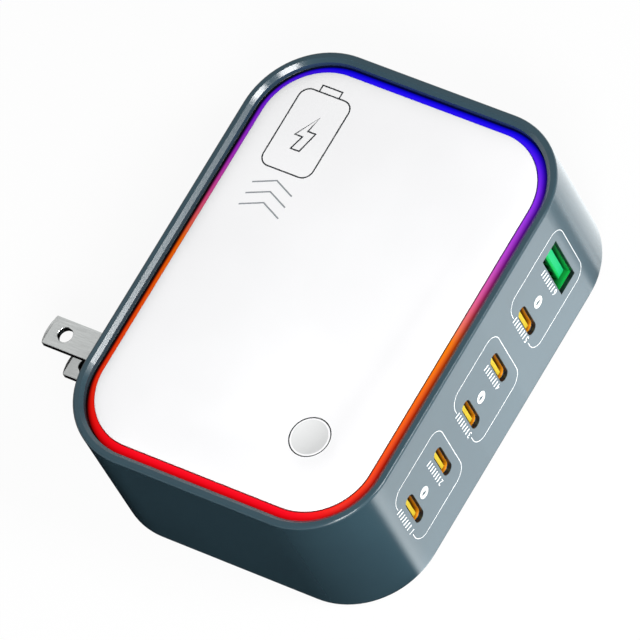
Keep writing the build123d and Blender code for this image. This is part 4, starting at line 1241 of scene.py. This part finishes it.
@dataclass
class FrontPrint(Print):
    """Print on the front wall: a frame round each pair of sockets, numbers, bars and bolt discs."""

    frames: tuple[Point, ...] = ((-32.08, -14.63), (-9.67, 7.17), (12.33, 32.04))
    levels: Point = (7.75, 25.05)
    frame_corner: float = 3.0
    gap: Point = (11.75, 21.3)
    label_xs: tuple[float, ...] = (-32.0, -20.8, -9.75, 1.3, 12.4, 23.4)
    label_levels: Point = (12.5, 20.7)
    label_height: float = 1.45
    bars: int = 7
    bar_start: float = 1.9
    bar_width: float = 0.32
    slant: float = 0.18
    discs: tuple[Point, ...] = ((-25.1, 16.4), (-3.1, 16.4), (19.05, 16.45))
    disc_radius: float = 1.3
    disc_circle: int = 48

    def build(self) -> None:
        """Print the frames, the labels, and the discs with their bolts."""
        made = Builder()
        for low_x, high_x in self.frames:
            self.ribbon(made, self.frame_path(low_x, high_x), self.housing.on_front)
        made.piece("front_print_frames", WHITE_INK, Body.CASE, Slot.WHITE_PLASTIC)
        made = Builder()
        for number, x in enumerate(self.label_xs, start=1):
            self.label(made, number, x)
        made.piece("front_print_labels", WHITE_INK, Body.CASE, Slot.WHITE_PLASTIC)
        made = Builder()
        for centre in self.discs:
            self.patch(made, circle_loop(centre, self.disc_radius, self.disc_circle), self.housing.on_front)
        made.piece("front_print_discs", WHITE_INK, Body.CASE, Slot.WHITE_PLASTIC)
        made = Builder()
        for centre in self.discs:
            self.patch(made, self.bolt(centre), self.housing.on_front, self.film)
        made.piece("front_print_bolts", SLATE_INK, Body.CASE, Slot.DARK_PLASTIC)

    def frame_path(self, low_x: float, high_x: float) -> list[Point]:
        """Middle line of one frame, which stays open beside its first label.

        Args:
            low_x: its low side in mm.
            high_x: its high side in mm.

        Returns:
            Points from above the opening round to below it.
        """
        middle = ((low_x + high_x) / 2, sum(self.levels) / 2)
        half = ((high_x - low_x) / 2, (self.levels[1] - self.levels[0]) / 2)
        loop = rounded_loop(*half, self.frame_corner, self.corner_steps)
        ring = [(middle[0] + u, middle[1] + v) for u, v in loop]
        start = next(i for i, (u, v) in enumerate(loop) if u < 0 and v < 0)
        run = ring[start:] + ring[:start]
        return [(low_x, self.gap[0]), *run, (low_x, self.gap[1])]

    def label(self, made: Builder, number: int, x: float) -> None:
        """Print a socket's number and a row of plain bars, read upwards along the wall.

        Args:
            made: the mesh that gets the label.
            number: the socket's number.
            x: middle of the label along the wall, in mm.
        """
        start, end = self.label_levels

        def place(u: float, v: float, lift: float) -> Vector:
            """Turn a place along and across the label to one on the wall."""
            return self.housing.on_front(x - v, start + u + self.slant * v, lift)

        low = -self.label_height / 2
        self.numeral(made, str(number), place)
        pitch = (end - start - self.bar_start) / (self.bars - 1)
        for bar in range(self.bars):
            u = self.bar_start - self.bar_width + bar * pitch
            outline = ((u, low), (u + self.bar_width, low), (u + self.bar_width, -low), (u, -low))
            self.patch(made, outline, place)

    def numeral(self, made: Builder, text: str, place: Placing) -> None:
        """Print a numeral in the plain built-in type.

        Args:
            made: the mesh that gets it.
            text: the numeral.
            place: gives the point in space for a place in the label and a height above it.
        """
        curve = bpy.data.curves.new("numeral", "FONT")
        curve.body = text
        # The type is drawn one unit thick, which becomes the thickness of the film.
        curve.extrude = 0.5
        holder = bpy.data.objects.new("numeral", curve)
        bpy.context.scene.collection.objects.link(holder)
        bpy.context.view_layer.update()
        drawn = holder.evaluated_get(bpy.context.evaluated_depsgraph_get())
        flat = bpy.data.meshes.new_from_object(drawn)
        lows = [min(v.co[i] for v in flat.vertices) for i in (0, 1)]
        scale = self.label_height / (max(v.co.y for v in flat.vertices) - lows[1])
        spots = []
        for vertex in flat.vertices:
            u, v = (vertex.co.x - lows[0]) * scale, (vertex.co.y - lows[1]) * scale
            spots.append(place(u, v - self.label_height / 2, (vertex.co.z + curve.extrude) * self.film))
        vertices = made.loop(spots)
        for polygon in flat.polygons:
            made.face([vertices[i] for i in polygon.vertices])
        bpy.data.objects.remove(holder)
        bpy.data.curves.remove(curve)
        bpy.data.meshes.remove(flat)


@dataclass
class TopPrint(Print):
    """Print on the cover: a plain outlined battery with a bolt, and three lighter chevrons."""

    cover: TopCover = field(kw_only=True)
    line: float = 0.3
    battery_x: Point = (20.0, 38.0)
    battery_y: Point = (13.8, 25.5)
    battery_corner: float = 2.2
    corner_steps: int = 10
    bolt_height: float = 8.0
    terminal: Point = (1.5, 4.6)
    chevrons: tuple[float, ...] = (10.6, 13.2, 15.8)
    chevron_run: float = 2.0
    chevron_inset: float = 1.2

    def on_top(self, x: float, y: float, lift: float) -> Vector:
        """Place a point of the print on the cover, in mm."""
        edge = min(self.housing.half_x - abs(x), self.housing.half_y - abs(y))
        return Vector((x, y, self.cover.height(edge - self.cover.inset - self.cover.edge_round) + lift))

    def build(self) -> None:
        """Print the battery in charcoal and the chevrons in grey."""
        made = Builder()
        (left, right), (near, far) = self.battery_x, self.battery_y
        middle = ((left + right) / 2, (near + far) / 2)
        loop = rounded_loop((right - left) / 2, (far - near) / 2, self.battery_corner, self.corner_steps)
        case = [(middle[0] + u, middle[1] + v) for u, v in loop]
        self.ribbon(made, case, self.on_top, closed=True)
        out, half = right + self.terminal[0], self.terminal[1] / 2
        low, high = middle[1] - half, middle[1] + half
        self.ribbon(made, ((right, low), (out, low), (out, high), (right, high)), self.on_top)
        self.ribbon(made, self.bolt(middle), self.on_top, closed=True)
        made.piece("top_print_battery", DARK_INK, Body.CASE, Slot.DARK_PLASTIC)
        made = Builder()
        near, far = near + self.chevron_inset, far - self.chevron_inset
        for x in self.chevrons:
            path = [(x, near), (x + self.chevron_run, middle[1]), (x, far)]
            self.ribbon(made, path, self.on_top)
        made.piece("top_print_chevrons", GREY_INK, Body.CASE, Slot.DARK_PLASTIC)


@dataclass
class MainsPlug:
    """The folding plug: two stamped blades on a carrier that turns in its holder."""

    x: float = -24.2
    pivot_y: float = 31.75
    zs: Point = (22.05, 9.35)
    width: float = 6.35
    thickness: float = 1.5
    tip_radius: float = 19.95
    tip_sag: float = 0.8
    tip_drop: float = 0.42
    tail_radius: float = 4.45
    hole_radius: float = 1.6
    hole_from_tip: float = 4.5
    hole_circle: int = 48
    edge: float = 0.09
    tip_steps: int = 24
    tail_steps: int = 16

    def build(self) -> None:
        """Build the two blades and dress the carrier, holder and springs."""
        for name, z in zip(("blade_line", "blade_neutral"), self.zs):
            self.blade(name, z)
        dress(SLATE_PLUG, "blade_carrier", "plug_holder")
        dress(GOLD_CONTACT, "contact_line", "contact_neutral")

    def blade(self, node: str, z: float) -> None:
        """Build one blade with softened edges and a bevelled tip, and replace its plain solid.

        Args:
            node: the CAD node that it stands for.
            z: level of its middle in mm.
        """
        made = Builder()
        arc, tail = self.ends()
        outline = [*arc, *tail]
        inner = inset_loop(outline, self.edge)
        half = self.thickness / 2
        levels = [(inner, -half), (outline, -half + self.edge), (outline, half - self.edge), (inner, half)]
        loops = []
        for points, level in levels:
            heights = [math.copysign(abs(level) - self.drop(i, len(arc)), level) for i in range(len(points))]
            places = ((self.x + u, self.pivot_y + v, z + h) for (u, v), h in zip(points, heights))
            loops.append(made.loop(places))
        made.skin(loops)
        centre = (self.x, self.pivot_y + self.tip_radius - self.hole_from_tip)
        wide, bore = self.hole_radius + self.edge, self.hole_radius
        steps = ((wide, -half), (bore, -half + self.edge), (bore, half - self.edge), (wide, half))
        holes = made.levels(partial(circle_loop, centre, count=self.hole_circle),
                            ((radius, z + level) for radius, level in steps))
        made.skin(holes, inward=True)
        for loop, hole, up in ((loops[-1], holes[-1], True), (loops[0], holes[0], False)):
            flat = [loop[0], *loop[len(arc) - 1:]]
            made.fill(flat, hole, up=up)
            tip = loop[:len(arc)]
            made.face(tip if up else list(reversed(tip)))
        made.piece(f"{node}_stamping", NICKEL_BLADE, Body.PLUG, Slot.BLADE_METAL, [node], smooth_deg=25.0)

    def ends(self) -> tuple[list[Point], list[Point]]:
        """Points of the tip's arc and of the round tail, counter-clockwise.

        Returns:
            The tip's points, from +X to -X, and the tail's points, from -X to +X.
        """
        half = self.width / 2
        radius = (half ** 2 + self.tip_sag ** 2) / (2 * self.tip_sag)
        centre = self.tip_radius - radius
        reach = math.asin(half / radius)
        arc = []
        for i in range(self.tip_steps + 1):
            turn = reach * (1 - 2 * i / self.tip_steps)
            arc.append((radius * math.sin(turn), centre + radius * math.cos(turn)))
        spread = math.asin(half / self.tail_radius)
        tail = []
        for i in range(self.tail_steps + 1):
            turn = spread * (2 * i / self.tail_steps - 1)
            tail.append((self.tail_radius * math.sin(turn), -self.tail_radius * math.cos(turn)))
        return arc, tail

    def drop(self, number: int, count: int) -> float:
        """Give how far the tip's bevel lies below the face at a point of the outline.

        Args:
            number: the point's place in the outline.
            count: how many points the tip's arc has.

        Returns:
            The depth in mm.
        """
        if number >= count:
            return 0.0
        share = 1 - 2 * number / (count - 1)
        return self.tip_drop * (1 - share ** 2)


@dataclass
class Innards:
    """Everything inside the case, which keeps its CAD shapes and gets real finishes."""

    finishes: tuple[tuple[Finish, tuple[str, ...]], ...] = (
        (WHITE_BOARD, ("light_board",)),
        (BLACK_FRAME, ("support_frame", "choke_cradle", "board_header", "ribbon_sockets")),
        (LAMP_PHOSPHOR, ("light_lamps",)),
        (GREEN_BOARD, ("port_board", "main_board")),
        (EPOXY_PACKAGE, ("port_chips", "bridge_rectifier", "power_transistors", "mains_fuse")),
        (POLYIMIDE, ("insulation_sheet",)),
        (TIN_STEEL, ("board_screws",)),
        (FERRITE, ("transformer_core", "output_inductors")),
        (COPPER_WINDING, ("transformer_winding", "line_choke")),
        (SHRUNK_SLEEVE, ("bulk_capacitors", "output_capacitors")),
        (YELLOW_BOX, ("line_capacitor",)),
        (ROLLED_ALUMINIUM, ("heat_spreader",)),
        (WHITE_RIBBON, ("light_ribbon",)))

    def build(self) -> None:
        """Dress every inner node."""
        for finish, nodes in self.finishes:
            dress(finish, *nodes)


@dataclass(frozen=True)
class Lamp:
    """A soft rectangular studio lamp that the camera doesn't see."""

    name: str
    place: Spot
    aim: Spot
    size: Point
    radiance: float

    def build(self) -> None:
        """Hang the lamp and turn it to its aim."""
        data = bpy.data.lights.new(self.name, "AREA")
        data.shape = "RECTANGLE"
        data.size, data.size_y = self.size
        data.energy = self.radiance * math.pi * self.size[0] * self.size[1]
        made = bpy.data.objects.new(self.name, data)
        bpy.context.scene.collection.objects.link(made)
        made.location = self.place
        way = Vector(self.aim) - Vector(self.place)
        made.rotation_euler = way.to_track_quat("-Z", "Y").to_euler()
        made.visible_camera = False
        LOG.info("lamp %s", self.name)


@dataclass(frozen=True)
class Card:
    """A white or black card that lies beside the case, as its corners in mm, and is out of the picture."""

    name: str
    corners: tuple[Point, ...]
    radiance: float
    layer: int


@dataclass(frozen=True)
class Fan:
    """Strips of card that spread from a rounded front corner, each where the camera sees it mirrored."""

    name: str
    side: int
    tones: tuple[Point, ...]
    height: float = 45.0

    def strips(self, housing: Housing, sight: Vector) -> list[Card]:
        """Lay out the strips, from each tone's angle round the corner to the next one's.

        Args:
            housing: the case.
            sight: the way that the camera looks.

        Returns:
            The strips as cards, one fewer than the tones.
        """
        radius = housing.corner
        middle = Vector((self.side * (housing.half_x - radius), radius - housing.half_y, 0.0))
        edges = []
        for angle, _ in self.tones:
            turn = math.radians(angle)
            out = Vector((self.side * math.sin(turn), -math.cos(turn), 0.0))
            foot = middle + out * radius
            way = sight.reflect(out)
            edges.append((foot.xy, (foot - way * self.height / way.z).xy))
        cards = []
        for number, (near, far) in enumerate(zip(edges, edges[1:])):
            corners = tuple(tuple(point) for point in (*near, *reversed(far)))
            cards.append(Card(f"{self.name}_{number}", corners, self.tones[number][1], 0))
        return cards


@dataclass
class Studio:
    """White floor that rises into a cove, soft lamps, cards beside the case, and the camera.

    Floor and cards are in mm, lamps and camera in metres.
    """

    housing: Housing
    floor_rings: Point = (20.0, 500.0)
    floor_radius: float = 3000.0
    cove_radius: float = 1200.0
    cove_steps: int = 12
    floor_z: float = -0.2
    card_layer: int = 2
    ground_layer: int = 5
    focal_px: float = 11537.2
    image_px: float = 640.0
    sensor_mm: float = 36.0
    clip: Point = (0.05, 50.0)
    eye: Spot = (-0.662620, -1.068827, 1.830492)
    forward: Spot = (0.29982, 0.48561, -0.82115)
    up: Spot = (0.81612, 0.31517, 0.48437)
    world: float = 0.15
    lamps: tuple[Lamp, ...] = (
        Lamp("key_softbox", (0.094, -0.531, 0.526), (0.0, 0.0, 0.03), (0.201, 0.1765), 24.2),
        Lamp("key_spill", (0.25, -0.50, 0.50), (0.0, 0.0, 0.03), (0.11, 0.172), 2.4),
        Lamp("left_softbox", (-0.328, -0.366, 0.552), (0.0, 0.0, 0.03), (0.241, 0.1765), 24.2),
        Lamp("left_fill", (-0.63, -0.54, 0.32), (0.0, 0.0, 0.015), (0.4, 0.3), 6.0),
        Lamp("plug_kicker", (0.0185, 0.122, 0.1458), (-0.0265, 0.049, 0.0228), (0.03, 0.023), 0.6),
        Lamp("rear_panel", (0.26, 0.40, 0.68), (0.0, 0.0, 0.02), (0.7, 0.7), 0.15))
    cards: tuple[Card, ...] = (
        Card("front_card", ((-38, -140), (80, -140), (80, -36), (-38, -36)), 2.54, 2),
        Card("front_card_low", ((-30.5, -36), (-8, -36), (8, -62), (-14.5, -62)), 2.45, 1),
        Card("front_card_high", ((6, -36), (30.5, -36), (46.5, -62), (22, -62)), 2.74, 1),
        Card("right_card", ((35.7, -34.4), (91.2, -57.2), (188.6, 18.8), (91.8, 70.9)), 1.76, 1),
        Card("left_flag", ((-250, -160), (-38, -160), (-38, 250), (-250, 250)), 0.0, 1),
        Card("plug_flag", ((-38, 30), (0, 30), (0, 250), (-38, 250)), 0.0, 1))
    fans: tuple[Fan, ...] = (
        Fan("low_fan", -1, (
            (0, 2.5), (2, 2.6), (4, 2.8), (6, 3.05), (8, 3.3), (10, 3.7), (11.5, 3.9), (13, 3.8), (14, 3.3),
            (15, 2.4), (16, 1.4), (17, 0.55), (18, 0.1), (19, 0.0), (34, 0.0))),
        Fan("high_fan", 1, (
            (0, 2.7), (2.2, 2.4), (3, 1.9), (4, 1.4), (5, 1.0), (6.2, 0.72), (8, 0.6), (12.5, 0.5),
            (13.5, 0.7), (14.5, 1.0), (15.5, 1.45), (16.5, 1.75), (18, 1.82), (21, 1.45), (23.5, 1.78),
            (30, 0.0))))

    def build(self) -> None:
        """Set up the floor, the cards, the lamps, the world and the camera."""
        self.build_floor("studio_floor", self.floor_z, True)
        self.build_floor("studio_ground", self.floor_z * self.ground_layer, False)
        strips = [strip for fan in self.fans for strip in fan.strips(self.housing, Vector(self.forward))]
        for card in (*self.cards, *strips):
            self.build_card(card)
        for lamp in self.lamps:
            lamp.build()
        scene = bpy.context.scene
        world = bpy.data.worlds.new("studio_air")
        world.use_nodes = True
        air = world.node_tree.nodes["Background"]
        feed(world.node_tree, air, {"Color": linear("#ffffff"), "Strength": self.world})
        scene.world = world
        scene.view_settings.view_transform = "Standard"
        self.build_camera()

    def build_floor(self, name: str, level: float, shown: bool) -> None:
        """Build a round floor and the cove that rises at its edge.

        Args:
            name: the floor's name.
            level: its height in mm.
            shown: whether the camera sees it, or else only light and reflections.
        """
        profile = [(radius, level) for radius in self.floor_rings]
        for step in range(self.cove_steps + 1):
            turn = math.pi / 2 * step / self.cove_steps
            profile.append((self.floor_radius + self.cove_radius * math.sin(turn),
                            level + self.cove_radius * (1 - math.cos(turn))))
        made = Builder()
        rings = made.levels(partial(circle_loop, (0.0, 0.0), count=FINE_CIRCLE), profile)
        made.face(rings[0])
        made.skin(rings, inward=True)
        floor = made.stand(name, PaintedFloor("painted_studio_floor"))
        floor.visible_camera = shown
        floor.visible_transmission = shown
        for kind in ("visible_diffuse", "visible_glossy", "visible_shadow"):
            setattr(floor, kind, not shown)

    def build_card(self, card: Card) -> None:
        """Lay a card beside the case, which only the case's own surfaces see.

        Args:
            card: the card.
        """
        made = Builder()
        level = self.floor_z * (self.card_layer + card.layer)
        made.face(made.loop((*corner, level) for corner in card.corners))
        laid = made.stand(card.name, CardFace(f"studio_card_{card.radiance:g}", card.radiance))
        laid.visible_camera = False

    def build_camera(self) -> None:
        """Put the camera where the picture was taken from."""
        data = bpy.data.cameras.new("camera")
        data.sensor_width = self.sensor_mm
        data.lens = self.sensor_mm * self.focal_px / self.image_px
        data.clip_start, data.clip_end = self.clip
        back = -Vector(self.forward).normalized()
        right = Vector(self.up).cross(back).normalized()
        up = back.cross(right)
        camera = bpy.data.objects.new("camera", data)
        bpy.context.scene.collection.objects.link(camera)
        turn = Matrix((right, up, back)).transposed()
        camera.matrix_world = Matrix.Translation(self.eye) @ turn.to_4x4()
        bpy.context.scene.camera = camera


def main() -> None:
    """Build the sub-assemblies in order, then the studio."""
    logging.basicConfig(level=logging.INFO, format="%(name)s: %(message)s")
    housing = Housing()
    cover = TopCover(housing)
    assemblies = (housing, cover, LightRing(housing), PushButton(), Sockets(), FrontPrint(housing),
                  TopPrint(housing, cover=cover), MainsPlug(), Innards())
    for assembly in assemblies:
        assembly.build()
    Studio(housing).build()


if __name__ == "__main__":
    main()
